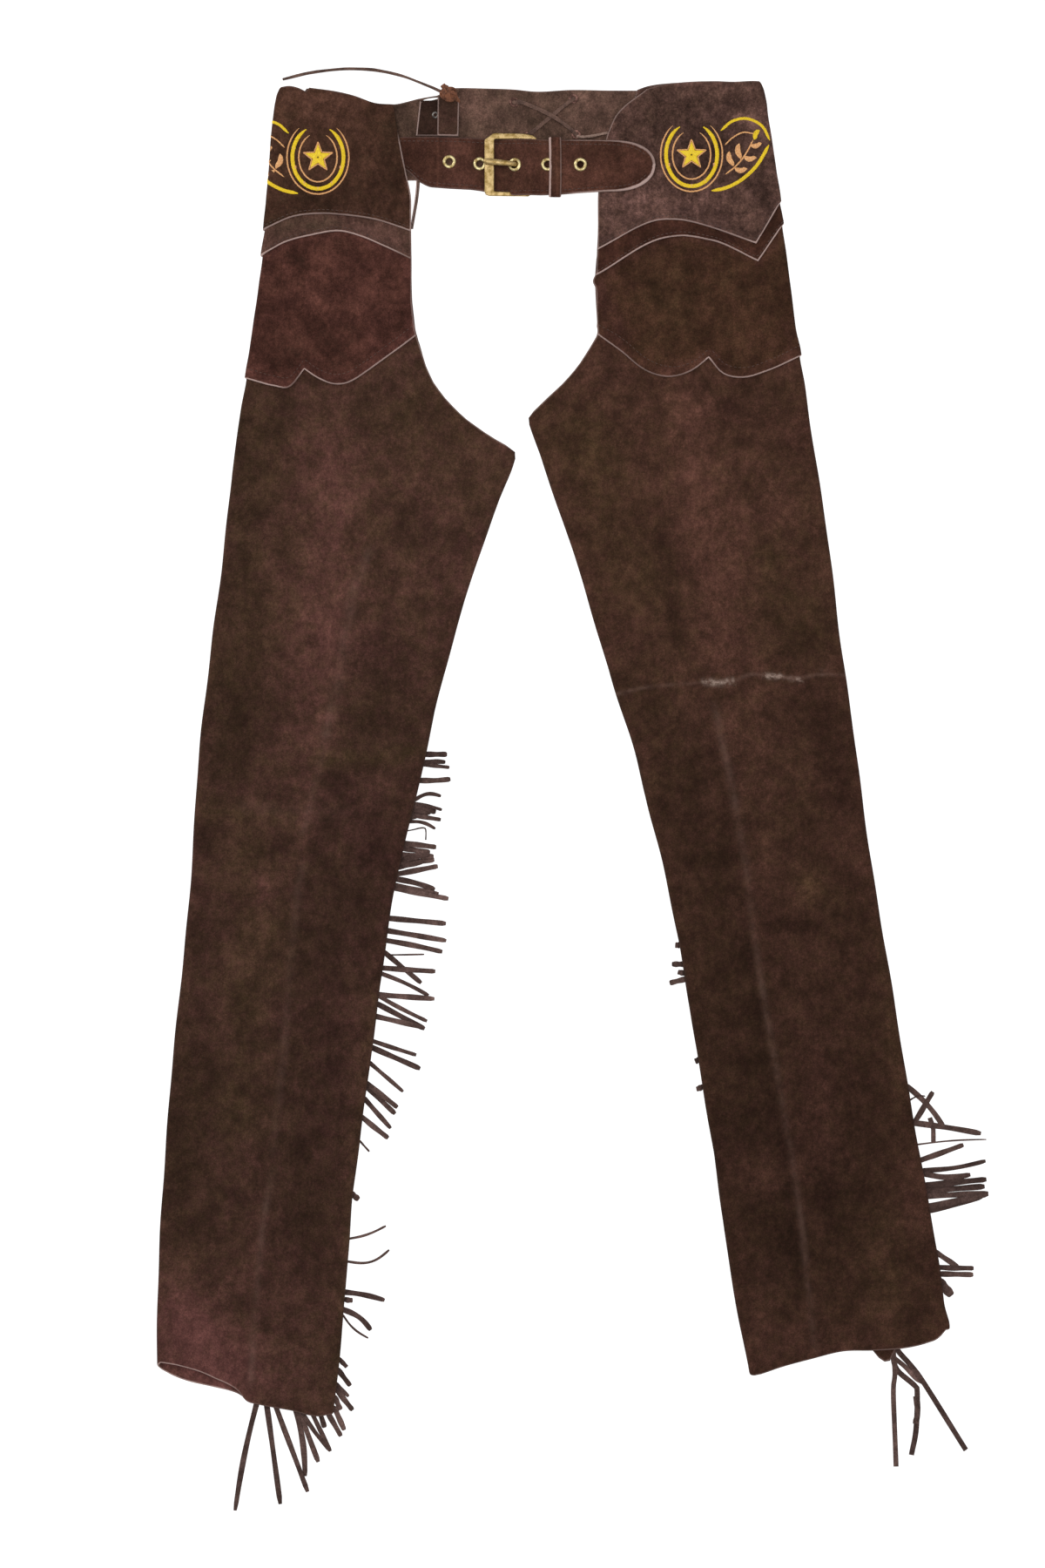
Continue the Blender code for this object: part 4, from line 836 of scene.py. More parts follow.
def legColumns(dense):
    # from the inner seam, over the front, the outer fold and the back, to the seam again
    low, high = dense
    spread = np.linspace(0.02, 0.965, legDetail["frontColumns"])
    shares = [share for share in spread if not low - 0.01 < share < high + 0.01]
    shares = sorted([*shares, *np.linspace(low, high, legDetail["creaseColumns"])], reverse=True)
    front = onFace("innerFront", range(90, -1, -15)) + onFace("front", shares)
    back = onFace("back", np.linspace(0.03, 0.96, legDetail["backColumns"]))
    return [*front, *onFace("outerFold", foldTurns), *back, *onFace("innerBack", range(180, 89, -15))]


def overlayColumns(frontCount, backCount, corners=()):
    # from the inner front edge, over the outer fold, to the inner back edge
    edge = [1.0, 0.994, 0.987, 0.976]
    frontShares = sharpShares(np.linspace(0.955, 0.02, frontCount), corners)[::-1]
    backShares = sharpShares(np.linspace(0.03, 0.96, backCount), corners)
    front, back = onFace("front", edge + frontShares), onFace("back", backShares + edge[::-1])
    return [*front, *onFace("outerFold", foldTurns), *back]


def lapRamp(distance, face="front", place=0):
    # how far a lap still stands out; round the outer fold it dies away slowly
    reach = leather["lapRamp"]
    if face == "outerFold":
        reach = mix(reach, leather["foldRamp"], math.sin(math.radians(place)))
    return 1 - smooth((distance - leather["lapWidth"]) / reach)


def gridNormals(grid, closedRows):
    normals = unit(np.cross(np.gradient(grid, axis=0), np.gradient(grid, axis=1)))
    if closedRows is not None:
        seam = unit(normals[closedRows:, 0] + normals[closedRows:, -1])
        normals[closedRows:, 0] = normals[closedRows:, -1] = seam
    return normals


pieces = {}


def newPiece(name, mesh, material, slot=None, node=None):
    # a finished piece; slot is not used, and node is the solid that it stands for
    mesh.materials.append(material)
    piece = addObject(name, mesh)
    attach(piece, "root")
    if node:
        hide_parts(node)
    pieces[name] = piece
    return piece


def tidyMesh(name, points, faces, attributes, sharpAngle):
    # drops unused points, turns faces outwards and keeps the point attributes
    mesh = bpy.data.meshes.new(name)
    mesh.from_pydata((np.asarray(points) * mm).tolist(), [], faces)
    for key, values in attributes.items():
        mesh.attributes.new(key, "FLOAT", "POINT").data.foreach_set("value", np.asarray(values, np.float32))
    builder = bmesh.new()
    builder.from_mesh(mesh)
    loose = [vertex for vertex in builder.verts if not vertex.link_faces]
    bmesh.ops.delete(builder, geom=loose, context="VERTS")
    bmesh.ops.recalc_face_normals(builder, faces=builder.faces)
    if builder.calc_volume(signed=True) < 0:
        bmesh.ops.reverse_faces(builder, faces=builder.faces)
    builder.to_mesh(mesh)
    builder.free()
    smoothMesh(mesh, sharpAngle)
    return mesh


def smoothMesh(mesh, sharpAngle):
    mesh.shade_smooth()
    mesh.set_sharp_from_angle(angle=math.radians(sharpAngle))


def quads(a, b, c, d):
    return np.stack([a.ravel(), b.ravel(), c.ravel(), d.ravel()], axis=1)


def shellMesh(name, outer, fields, thickness=leather["suede"], closedRows=None, facing=None):
    # a leather wall from the grid of its outer surface, thinned and rounded along its free edges
    rowCount, columnCount = outer.shape[:2]
    if closedRows is not None:
        outer[closedRows:, -1] = outer[closedRows:, 0]
    normals = gridNormals(outer, closedRows)
    # facing is the way the outer side looks at its first row; without it, up at a quarter of the middle row
    outward = normals[rowCount // 2, columnCount // 4, 2]
    if facing is not None:
        outward = normals[0, columnCount // 2] @ facing
    if outward < 0:
        normals = -normals
    inner = outer - normals * thickness
    near = np.clip(fields["edgeDistance"] / leather["roll"], 0, 1)
    share = leather["edgeShare"] + (1 - leather["edgeShare"]) * np.sqrt(1 - (1 - near) ** 2)
    outer = inner + normals * thickness * share[..., None]
    offset = rowCount * columnCount
    index = np.arange(offset).reshape(rowCount, columnCount)
    if closedRows is not None:
        index[closedRows:, -1] = index[closedRows:, 0]
    faces = [quads(index[:-1, :-1], index[:-1, 1:], index[1:, 1:], index[1:, :-1])]
    faces.append(faces[0][:, ::-1] + offset)
    openRows = rowCount if closedRows is None else closedRows + 1
    for line in (index[0], index[-1], index[:openRows, 0], index[:openRows, -1]):
        faces.append(quads(line[:-1], line[1:], line[1:] + offset, line[:-1] + offset))
    points = np.concatenate([outer.reshape(-1, 3), inner.reshape(-1, 3)])
    attributes = {key: np.tile(values.ravel(), 2) for key, values in fields.items()}
    return tidyMesh(name, points, np.concatenate(faces).tolist(), attributes, sharpAngle=40)


def nearestEdge(grid, lines, lights):
    # per point: distance to the nearest free edge, and how pale that edge is
    places = grid.reshape(-1, 3)
    best = np.full(len(places), 99.0)
    light = np.zeros(len(places))
    for line, amount in zip(lines, lights):
        distance = distanceTo(line, places)
        light = np.where(distance < best, amount, light)
        best = np.minimum(best, distance)
    shape = grid.shape[:2]
    return {"edgeDistance": best.reshape(shape), "edgeLight": light.reshape(shape)}


def isFront(face, place):
    return face in ("front", "innerFront") or (face == "outerFold" and place < 90)


def panelFields(side, grid, columns, edge, lines, lights):
    # free edges, wear and nap tone of a leg or overlay, with painted light by height and painted shade along
    # some creases; the first line is the edge whose paleness varies
    x, y = grid[..., 0], grid[..., 1]
    onFront = np.array([isFront(*column) for column in columns])
    glow = np.interp([fractionOf(*column) for column in columns], *zip(*side["glow"][edge]))
    tone, lean = patchField(side["patches"], x, y)
    return nearestEdge(grid, lines, (np.tile(glow, len(grid)), *lights)) | {
        "rub": creaseField(side, x, y, 1) * onFront,
        "scuff": creaseField(side, x, y, 2) * onFront,
        "tone": leather["patchStrength"] * tone + np.interp(y, *zip(*side["paintedLightByHeight"])),
        "warmth": lean,
    }


def levelRows(side):
    # heights that every column of a leg shares, closer together across a fine crease
    high, low, step = side["levels"]
    rows = list(np.arange(high, low - 0.1, -step))
    rows.append(side["closedFrom"])
    if side["fineLevels"]:
        fineLow, fineHigh, fineStep = side["fineLevels"]
        rows += list(np.arange(fineLow, fineHigh + 0.1, fineStep))
    rows = sorted(set(np.round(rows, 2)), reverse=True)
    apart = [True] + [above - row > 0.5 for above, row in zip(rows, rows[1:])]
    return [row for row, clear in zip(rows, apart) if clear or row == side["closedFrom"]]


def edgeAt(side, edge, fraction):
    return easeThrough(side[edge], fraction)


def edgeOn(side, edge, face, place):
    # an edge's height on any face; round the outer fold it runs on in its own direction
    level = edgeAt(side, edge, fractionOf(face, place))
    if face != "outerFold":
        return level
    out = math.sin(math.radians(place))
    if edge == "hipTop":
        return level - side["cornerDrop"] * out**4
    slope = (edgeAt(side, edge, 0.03) - level) / 0.03
    return level - slope * out * leather["foldHeight"] / 2 / side["panelWidth"]


def between(start, end, count):
    # count even steps from start to end, without either
    return [mix(start, end, share) for share in np.linspace(0, 1, count + 2)[1:-1]]


lap, ramp = leather["lapWidth"], leather["lapRamp"]
rampRows = [lap, lap + ramp / 3, lap + 2 * ramp / 3, lap + ramp]
tuckDepth = lap - leather["lapMargin"]


def buildLeg(side):
    name = side["name"]
    title = f"leg{name.title()}Suede"
    columns = legColumns(side["creaseShares"])
    levels = np.array(levelRows(side))
    hemShares = 1 - (1 - np.linspace(0, 1, legDetail["hemRows"] + 1)[1:]) ** legDetail["hemCrowd"]
    grid = []
    for face, place in columns:
        fraction = fractionOf(face, place)
        top = edgeAt(side, "thighEdge", fraction) + tuckDepth
        upper = [top - distance for distance in (0, 0.6, 1.2, 2.4, 3.6, *rampRows)]
        upper += between(upper[-1], levels[0], legDetail["topShares"] - 1)
        onBack = {"back": 1.0, "innerBack": 1.0, "outerFold": place / 180}.get(face, 0.0)
        hem = mix(edgeAt(side, "hemFront", fraction), edgeAt(side, "hemBack", fraction), onBack)
        y = np.array([*upper, *levels, *mix(levels[-1], hem, hemShares)])
        closedRows = len(upper) + int(np.argmin(abs(levels - side["closedFrom"])))
        closed = np.arange(len(y)) >= closedRows
        grid.append(clothPoints(side, face, place, y, 0.0, lapStep * lapRamp(top - y, face, place), closed))
    grid = np.stack(grid, axis=1)
    lines = [grid[-1], grid[: closedRows + 1, 0], grid[: closedRows + 1, -1], grid[0]]
    fields = panelFields(side, grid, columns, "hem", lines, (legDetail["sideLight"], 0.1, 0.0))
    mesh = shellMesh(title, grid, fields, closedRows=closedRows)
    newPiece(title, mesh, suedes[title], "leg_suede", "leg_" + name)


def overlayHeights(top, low, tucked, middleCount):
    # heights down one column: close together at the free edge and at the lap
    fromTop = (*edgeRows, 2.4, lap, lap + ramp / 2, lap + ramp) if tucked else (*edgeRows, 3.0)
    topRows = [top - distance for distance in fromTop]
    lowRows = [low + distance for distance in (*edgeRows, 1.8, 3.0, *rampRows)][::-1]
    if topRows[-1] < lowRows[0]:
        # a band narrower than its laps: spread the rows evenly between the two edges
        return mix(top, low, np.linspace(0, 1, len(topRows) + len(lowRows) + middleCount))
    return np.array([*topRows, *between(topRows[-1], lowRows[0], middleCount), *lowRows])


def buildOverlay(side, kind, topEdge, lowEdge, finish, slot, node, lights):
    title = kind + side["name"].title()
    material = suedes[f"{finish}{side['name'].title()}Suede"]
    tucked = topEdge != "hipTop"
    corners = {row[0] for edge in (topEdge, lowEdge) for row in side[edge] if len(row) > 2}
    columns = overlayColumns(panelDetail["frontColumns"], panelDetail["backColumns"], sorted(corners))
    tops = [edgeOn(side, topEdge, *column) + (tuckDepth if tucked else 0.0) for column in columns]
    lows = [edgeOn(side, lowEdge, *column) for column in columns]
    tallest = max(top - low for top, low in zip(tops, lows))
    middleCount = max(1, int(tallest / panelDetail["rowStep"]))
    grid = []
    for column, top, low in zip(columns, tops, lows):
        y = overlayHeights(top, low, tucked, middleCount)
        tuck = lapStep * lapRamp(top - y, *column) if tucked else 0.0
        grid.append(clothPoints(side, *column, y, lapStep * lapRamp(y - low, *column), tuck))
    grid = np.stack(grid, axis=1)
    lines = [grid[-1], grid[:, 0], grid[0]]
    if tucked:
        # the hip's back edge is sewn flush to the back yoke, the others are cut
        lines.append(grid[:, -1])
    fields = panelFields(side, grid, columns, lowEdge, lines, lights)
    if not tucked:
        fade = smooth((side["edgeFadeFrom"] - grid[..., 1]) / 10)
        beyond = grid[..., 0] * side["towardInner"] > side["edgeFadeBeyond"]
        fields["edgeLight"] *= np.where(beyond, fade, 1.0)
    if lowEdge == "thighEdge":
        fields["warmth"] += 0.5 * smooth((9 - fields["edgeDistance"]) / 3)
    newPiece(title, shellMesh(title, grid, fields), material, slot, node + side["name"])


for side in sides.values():
    buildLeg(side)
    # kind, top and low edge, finish, slot, solid, and how pale the other edges are
    overlays = (
        ("hipYoke", "hipTop", "hipEdge", "yoke", "overlay_suede", "hip_yoke_", (side["sideLight"], 0.12)),
        ("hipBand", "hipEdge", "bandEdge", "band", "band_suede", "hip_band_", (0.25, 0.0, 0.2)),
        ("thighOverlay", "bandEdge", "thighEdge", "thigh", "overlay_suede", "thigh_overlay_", (0.3, 0, 0.2)),
    )
    for overlay in overlays:
        buildOverlay(side, *overlay)
print("legs and overlays made")


# sewing
stitching = {
    "inset": 3.1, "thighInset": 7.8, "pitch": 3.5, "length": 2.5, "width": 0.6, "height": 0.32,
    "sink": 0.15, "uneven": 0.15, "frontColumns": 60, "backColumns": 40,
}
# across and height of a thread's outline; and share along it, height and width
threadSection = ((-0.5, 0.0), (-0.28, 0.85), (0.0, 1.0), (0.28, 0.85), (0.5, 0.0))
threadStations = ((0.0, 0.05, 0.5), (0.14, 0.75, 0.95), (0.5, 1.0, 1.0), (0.86, 0.75, 0.95), (1.0, 0.05, 0.5))


def tubeFaces(rows, columns):
    # the sides and both caps of a tube of rings
    sideFaces = []
    for i in range(rows - 1):
        for j in range(columns):
            k = (j + 1) % columns
            sideFaces.append((i * columns + j, i * columns + k, (i + 1) * columns + k, (i + 1) * columns + j))
    caps = [tuple(range(columns))[::-1], tuple(range((rows - 1) * columns, rows * columns))]
    return sideFaces, caps


def threadMesh(name, starts, ends, ups, width, height):
    # short arched threads from each start to each end, lying on the surface
    starts, ends, ups = (np.asarray(values, float) for values in (starts, ends, ups))
    along = unit(ends - starts)
    ups = unit(ups - along * np.sum(ups * along, axis=1, keepdims=True))
    across = np.cross(along, ups)
    sink = stitching["sink"]
    rows, columns = len(threadStations), len(threadSection)
    points = np.zeros((len(starts), rows, columns, 3))
    for i, (share, rise, spread) in enumerate(threadStations):
        centre = starts + (ends - starts) * share - ups * sink
        for j, (out, up) in enumerate(threadSection):
            points[:, i, j] = centre + across * out * spread * width + ups * up * rise * (height + sink)
    offsets = (np.arange(len(starts)) * rows * columns)[:, None, None]
    faces = []
    for part in tubeFaces(rows, columns):
        faces += (np.array(part)[None] + offsets).reshape(-1, len(part[0])).tolist()
    return tidyMesh(name, points.reshape(-1, 3), faces, {}, sharpAngle=70)


def clothNormals(line, side, faces):
    ups = np.zeros_like(line)
    for i, (face, place) in enumerate(faces):
        angle = math.radians({"outerFold": place, "back": 180}.get(face, 0))
        ups[i] = (-side["towardInner"] * math.sin(angle), 0, math.cos(angle))
        # threads underneath are pulled into the leather, so that it lies flat
        line[i, 2] = max(line[i, 2], stitching["height"] * -min(ups[i, 2], 0))
    return ups


def stitchesAlong(line, ups, batch):
    # adds evenly spaced stitches along a line on the surface
    joined = resample(np.concatenate([line, ups], axis=1), max(8, len(line) * 4))
    lengths = pathLengths(joined[:, :3])
    for number in range(int((lengths[-1] - 2) / stitching["pitch"])):
        first = 1 + number * stitching["pitch"] + dice.uniform(-stitching["uneven"], stitching["uneven"])
        places = (first, first + stitching["length"])
        ends = [[np.interp(at, lengths, axis) for axis in joined.T] for at in places]
        batch.append((ends[0][:3], ends[1][:3], ends[0][3:]))


def makeStitches(name, batch, slot):
    mesh = threadMesh(name, *zip(*batch), stitching["width"], stitching["height"])
    newPiece(name, mesh, brownThread, slot)


def stitchOverlay(side, kind, edge, inset):
    columns = overlayColumns(stitching["frontColumns"], stitching["backColumns"])
    line = []
    for column in columns:
        standOut = lapStep * float(lapRamp(inset, *column))
        line.append(clothPoints(side, *column, [edgeOn(side, edge, *column) + inset], standOut)[0])
    line = np.array(line)
    batch = []
    stitchesAlong(line, clothNormals(line, side, columns), batch)
    makeStitches(f"{kind}{side['name'].title()}Stitches", batch, "overlay_suede")


for side in sides.values():
    stitchOverlay(side, "hipYoke", "hipEdge", stitching["inset"])
    stitchOverlay(side, "hipBand", "bandEdge", stitching["inset"])
    stitchOverlay(side, "thighOverlay", "thighEdge", stitching["thighInset"])
print("topstitching made")


# back yoke and side tab
yokeTop = (
    (-146.5, 531.5), (-135.5, 531.5), (-127, 533.2), (-117.4, 535.6), (-107.8, 537.3), (-102, 538.4),
    (-97, 541.5), (-90, 543.8), (-65, 543.5), (-45, 542.8), (-25, 541.1), (0, 542.4), (28, 542.0),
    (58, 541.9),
)
backYoke = {
    "foot": 473.0, "seamGap": 0.05, "columns": 96, "rows": 36, "holeRadius": 1.6,
    "holes": ((-45.1, 532.9), (0.3, 535.6), (2.4, 508.1), (-35.0, 506.9)),
    "endX": (-146.8, 50.6),
    # a slit above the tab: middle, half length, half height and turn
    "slit": ((-108.8, 535.2), 6.0, 0.95, 9.0),
    "patches": (
        (((-85, 528), (-65, 522)), 14, 0.1, 0.4), (((15, 530), (35, 520)), 14, 0.1, 0.3),
        (((-35, 515), (-20, 508)), 12, -0.08, -0.3), (((-142, 522), (-125, 508)), 17, -0.36, -0.4),
        (((-50, 502), (0, 500)), 8, -0.1, 0.0), (((-10, 530), (-12, 522)), 10, 0.05, 0.0),
    ),
}
yokeTail = {
    "route": (
        (-119.4, 482, 1.0), (-118.8, 476, 1.0), (-118.8, 469, 1.0), (-119.8, 459, 1.0), (-121.4, 449, 1.0),
        (-123.6, 436, 0.9),
    ),
    "across": (-1, -0.8, -0.4, 0, 0.4, 0.8, 1), "halfWidth": 1.6, "taper": 0.4, "lift": 0.3, "tone": -0.35,
}


def evaluatedMesh(thing):
    bpy.context.view_layer.update()
    graph = bpy.context.evaluated_depsgraph_get()
    return bpy.data.meshes.new_from_object(thing.evaluated_get(graph))


def cutHoles(piece, holes, depth=12.0):
    # holes are centre, half length, half height and turn; each is bored along Z
    builder = bmesh.new()
    for centre, across, up, turn in holes:
        shape = Matrix.Rotation(math.radians(turn), 4, "Z") @ Matrix.Diagonal((across, up, 1.0, 1.0))
        bmesh.ops.create_cone(
            builder, segments=28, radius1=mm, radius2=mm, depth=depth * mm, cap_ends=True,
            matrix=Matrix.Translation(Vector(centre) * mm) @ shape,
        )
    mesh = bpy.data.meshes.new("holeCutter")
    builder.to_mesh(mesh)
    builder.free()
    cutter = addObject("holeCutter", mesh)
    cut = piece.modifiers.new("holes", "BOOLEAN")
    cut.operation = "DIFFERENCE"
    cut.solver = "MANIFOLD"
    cut.object = cutter
    solid = evaluatedMesh(piece)
    piece.modifiers.clear()
    piece.data = solid
    bpy.data.objects.remove(cutter)


def flatFields(grid, lines, lights, patches=(), tone=0.0):
    x, y = grid[..., 0], grid[..., 1]
    patchTone, lean = patchField(patches, x, y)
    unworn = np.zeros(x.shape)
    fields = {"rub": unworn, "scuff": unworn, "tone": patchTone + tone, "warmth": lean}
    return nearestEdge(grid, lines, lights) | fields


def denseShares(count, close):
    inner = [share for share in np.linspace(0, 1, count)[1:-1] if 0.03 < share < 0.97]
    return np.array([0, *close, *inner, *(1 - share for share in close[::-1]), 1])


def plate(name, corners, level, lights, tone, node=None):
    # a flat leather patch between four corners given from lower left, anticlockwise
    lowLeft, lowRight, highRight, highLeft = np.array(corners, float)
    shares = denseShares(14, (0.012, 0.03))
    rows = [(mix(lowLeft, highLeft, up), mix(lowRight, highRight, up)) for up in shares]
    grid = np.array([[mix(start, end, across) for across in shares] for start, end in rows])
    x, y = grid[..., 0], grid[..., 1]
    grid = np.stack([x, y, level + leather["suede"] + 0.5 * ripple(x, y)], axis=2)
    lines = [grid[0], grid[:, -1], grid[-1], grid[:, 0]]
    mesh = shellMesh(name, grid, flatFields(grid, lines, lights, tone=tone))
    newPiece(name, mesh, suedes["tabSuede"], "band_suede", node)


def buildBackYoke():
    top = softLine(yokeTop)
    grid = []
    for share in denseShares(backYoke["rows"], (0.003, 0.008, 0.018)):
        row = []
        for across in denseShares(backYoke["columns"], (0.0015, 0.004, 0.008)):
            topY = np.interp(mix(*backYoke["endX"], across), top[:, 0], top[:, 1])
            y = mix(backYoke["foot"], topY, share)
            leftX = outlineAt(sides["left"], "innerBack", y) + backYoke["seamGap"]
            rightX = outlineAt(sides["right"], "innerBack", y) - backYoke["seamGap"]
            row.append((mix(leftX, rightX, across), y, leather["suede"]))
        grid.append(row)
    grid = np.array(grid)
    fields = flatFields(grid, [grid[-1], grid[0]], (0.12, 0.2), backYoke["patches"])
    mesh = shellMesh("backYoke", grid, fields)
    yoke = newPiece("backYoke", mesh, suedes["backYokeSuede"], "leg_suede", "back_yoke")
    radius = backYoke["holeRadius"]
    slit, *slitShape = backYoke["slit"]
    holes = [((x, y, 0), radius, radius, 0.0) for x, y in backYoke["holes"]]
    cutHoles(yoke, [*holes, ((*slit, 0), *slitShape)])


def buildYokeTail():
    # the narrow end of the back yoke that shows beside the left hip, below the belt
    path = softLine(yokeTail["route"])
    along = np.linspace(0, 1, len(path))[:, None, None]
    across = np.array(yokeTail["across"])[None, :, None] * np.array((1, -0.12, 0))
    half = yokeTail["halfWidth"] - yokeTail["taper"] * along
    grid = path[:, None, :] + across * half + np.array((0, 0, yokeTail["lift"]))
    fields = flatFields(grid, [grid[:, 0], grid[:, -1]], (0.9, 0.3), tone=yokeTail["tone"])
    newPiece("yokeTail", shellMesh("yokeTail", grid, fields), suedes["backYokeSuede"], "leg_suede")


buildBackYoke()
buildYokeTail()
tab = {
    "corners": ((-120.2, 506.9), (-87.8, 506.6), (-87.2, 534.5), (-117.2, 533.9)),
    "level": 1.6, "eyelet": (-105.3, 522.8),
    # the part folded over the right half, half over the eyelet
    "flap": ((-103.9, 506.9), (-87.7, 506.5), (-87.0, 536.6), (-103.5, 536.9)), "flapLevel": 3.45,
}
# the side tab's tone of -0.42 is painted shade: its part left bare by the flap is darkened as if shaded under
# the lap
plate("sideTab", tab["corners"], tab["level"], (0.3, 0.0, 0.0, 0.7), -0.42, "side_tab")
plate("tabFlap", tab["flap"], tab["flapLevel"], (0.62, 0.5, 0.0, 0.4), -0.02)
print("yoke and tab made")


# belt
belt = {
    "thickness": 1.6, "tipStart": 26.0, "tipEnd": 63.0, "tipY": 484.4, "holeRadius": 3.1,
    "stitchInset": 3.4,
    # x, z of its middle
    "rise": (
        (-140, 2.55), (-66, 2.55), (-61, 2.6), (-55.5, 3.2), (-37.5, 8.6), (-31, 8.7), (-28, 7.7),
        (-25, 6.1), (-22, 5.95), (0, 5.95), (19, 6.25), (63, 6.25),
    ),
    # x, lower edge and upper edge
    "edges": (
        (-140, 485.0, 506.2), (-127, 480.5, 506.2), (-118, 471.6, 506.2), (-110, 467.6, 506.2),
        (-94, 466.4, 506.0), (-78, 465.6, 505.4), (-69, 464.4, 504.8), (-62, 462.2, 504.3),
        (-47, 460.6, 503.8), (-30, 460.6, 503.5), (-9, 461.4, 503.3), (6, 462.6, 503.3), (26, 463.8, 503.0),
    ),
    "eyelets": ((-94.7, 487.0), (-71.3, 485.4), (-44.5, 484.1), (-19.5, 484.4), (5.5, 484.3)),
    "patches": (
        (((-124, 495), (-118, 478)), 15, -0.34, -0.1), (((-93, 500), (-89, 475)), 12, 0.04, 0.4),
        (((-62, 490), (-54, 475)), 10, -0.16, -0.2),
        (((-38, 495), (-26, 480), (-5, 490), (5, 475)), 14, 0.22, 0.3),
        (((40, 480), (50, 492)), 14, 0.02, 0.2),
    ),
}
beltFineX = np.arange(-140.0, 63.01, 0.25)


def beltLine(xs, ys, width):
    return blur(np.interp(beltFineX, xs, ys), width)


edgeX, edgeLow, edgeHigh = zip(*belt["edges"])
beltFine = {
    "middle": beltLine(*zip(*belt["rise"]), 5.0), "low": beltLine(edgeX, edgeLow, 6.0),
    "high": beltLine(edgeX, edgeHigh, 6.0),
}


def beltAt(x, y=484.0):
    return np.array([x, y, np.interp(x, beltFineX, beltFine["middle"])])


def beltEdges(x):
    # lower and upper edge, rounded off to the tip
    low, high = (np.interp(x, beltFineX, beltFine[key]) for key in ("low", "high"))
    if x > belt["tipStart"]:
        past = (x - belt["tipStart"]) / (belt["tipEnd"] - belt["tipStart"])
        share = max(math.sqrt(max(0.0, 1 - past**2.7)), 0.012)
        low, high = mix(belt["tipY"], low, share), mix(belt["tipY"], high, share)
    return low, high


def buildBelt():
    # stations crowd at the light crease in the middle and towards the tip
    stations = sorted([*np.arange(-140, belt["tipStart"], 1.6), -104.7, -103.4, -102.3])
    tipTurns = (*range(0, 70, 4), *range(70, 86, 3), 87, 88.3, 89.3)
    tipLength = belt["tipEnd"] - belt["tipStart"]
    stations += [belt["tipStart"] + tipLength * math.sin(math.radians(turn)) for turn in tipTurns]
    across = np.array([-1, -0.985, -0.955, -0.9, *np.linspace(-0.8, 0.8, 17), 0.9, 0.955, 0.985, 1])
    grid = []
    for station in stations:
        x = np.full(len(across), station)
        y = mix(*beltEdges(station), (across + 1) / 2)
        crown = 0.1 * (1 - across**2) + 0.4 * ripple(x, y)
        grid.append(np.stack([x, y, beltAt(station)[2] + belt["thickness"] / 2 + crown], axis=1))
    grid = np.array(grid).transpose(1, 0, 2)
    lines = [grid[0], grid[-1], grid[:, -1], grid[:, 0]]
    tone = 0.5 * bell(grid[..., 0] + 103.5, 0.9)
    fields = flatFields(grid, lines, (1.0, 0.6, 1.0, 0.0), belt["patches"], tone)
    # the pale edge widens towards the tip and is faint before the keeper
    afterKeeper = smooth((grid[..., 0] + 8) / 12)
    towardTip = smooth((grid[..., 0] - 15) / 38)
    fields["edgeLight"] *= (0.25 + 0.75 * afterKeeper) * (0.6 + 0.45 * towardTip)
    fields["edgeDistance"] *= 1 - 0.55 * towardTip
    mesh = shellMesh("beltStrap", grid, fields, belt["thickness"])
    strap = newPiece("beltStrap", mesh, suedes["beltSuede"], "belt_suede", "belt_strap")
    radius = belt["holeRadius"]
    cutHoles(strap, [(beltAt(x, y), radius, radius, 0.0) for x, y in belt["eyelets"]])


def beltStitches():
    batch = []
    inset = belt["stitchInset"]
    for sign in (1, -1):
        line = []
        for x in np.arange(-138, belt["tipEnd"] - inset, 1.5):
            low, high = beltEdges(min(x + inset * 0.8 * (x > belt["tipStart"]), belt["tipEnd"]))
            y = (low + high) / 2 + sign * max((high - low) / 2 - inset, 0.2)
            line.append((x, y, beltAt(x)[2] + belt["thickness"] / 2 + 0.05))
        stitchesAlong(np.array(line), np.tile((0, 0, 1.0), (len(line), 1)), batch)
    makeStitches("beltStitches", batch, "belt_suede")


def arc(centre, radii, start, end, steps):
    # points from one angle to another, in degrees
    turns = [math.radians(mix(start, end, step / steps)) for step in range(steps + 1)]
    return [(centre[0] + radii[0] * math.cos(turn), centre[1] + radii[1] * math.sin(turn)) for turn in turns]


buckleStrap = {
    "heel": (-34.7, 4.6), "radius": 2.2, "level": 2.35, "y": 482.4, "half": 18.5,
    "under": (50, 46, 38, 26, 14, 2, -10, -20, -28, -33),
    "over": ((-30.5, 4.05), (-26, 3.98), (-20, 3.95), (-14, 3.95), (-8, 3.95)),
    "across": (-1, -0.97, -0.9, -0.5, 0, 0.5, 0.9, 0.97, 1),
}


def buildBuckleStrap():
    # lies under the belt, rolled round the buckle's heel bar and sewn back on itself
    route = [(x, buckleStrap["level"]) for x in buckleStrap["under"]]
    route += arc(buckleStrap["heel"], (buckleStrap["radius"],) * 2, -95, -350, 17)
    route = np.array([*route, *buckleStrap["over"]])
    normal = unit(np.stack([np.gradient(route[:, 1]), -np.gradient(route[:, 0])], axis=1))
    outer = route - normal * leather["suede"] / 2
    y, half = buckleStrap["y"], buckleStrap["half"]
    grid = np.array([[(x, y + half * a, z) for a in buckleStrap["across"]] for x, z in outer])
    fields = flatFields(grid, [grid[0], grid[-1], grid[:, 0], grid[:, -1]], (0.6, 0.6, 0.6, 0.5))
    mesh = shellMesh("buckleStrap", grid, fields, facing=np.array((0, 0, -1.0)))
    newPiece("buckleStrap", mesh, suedes["beltSuede"], "belt_suede", "buckle_strap")


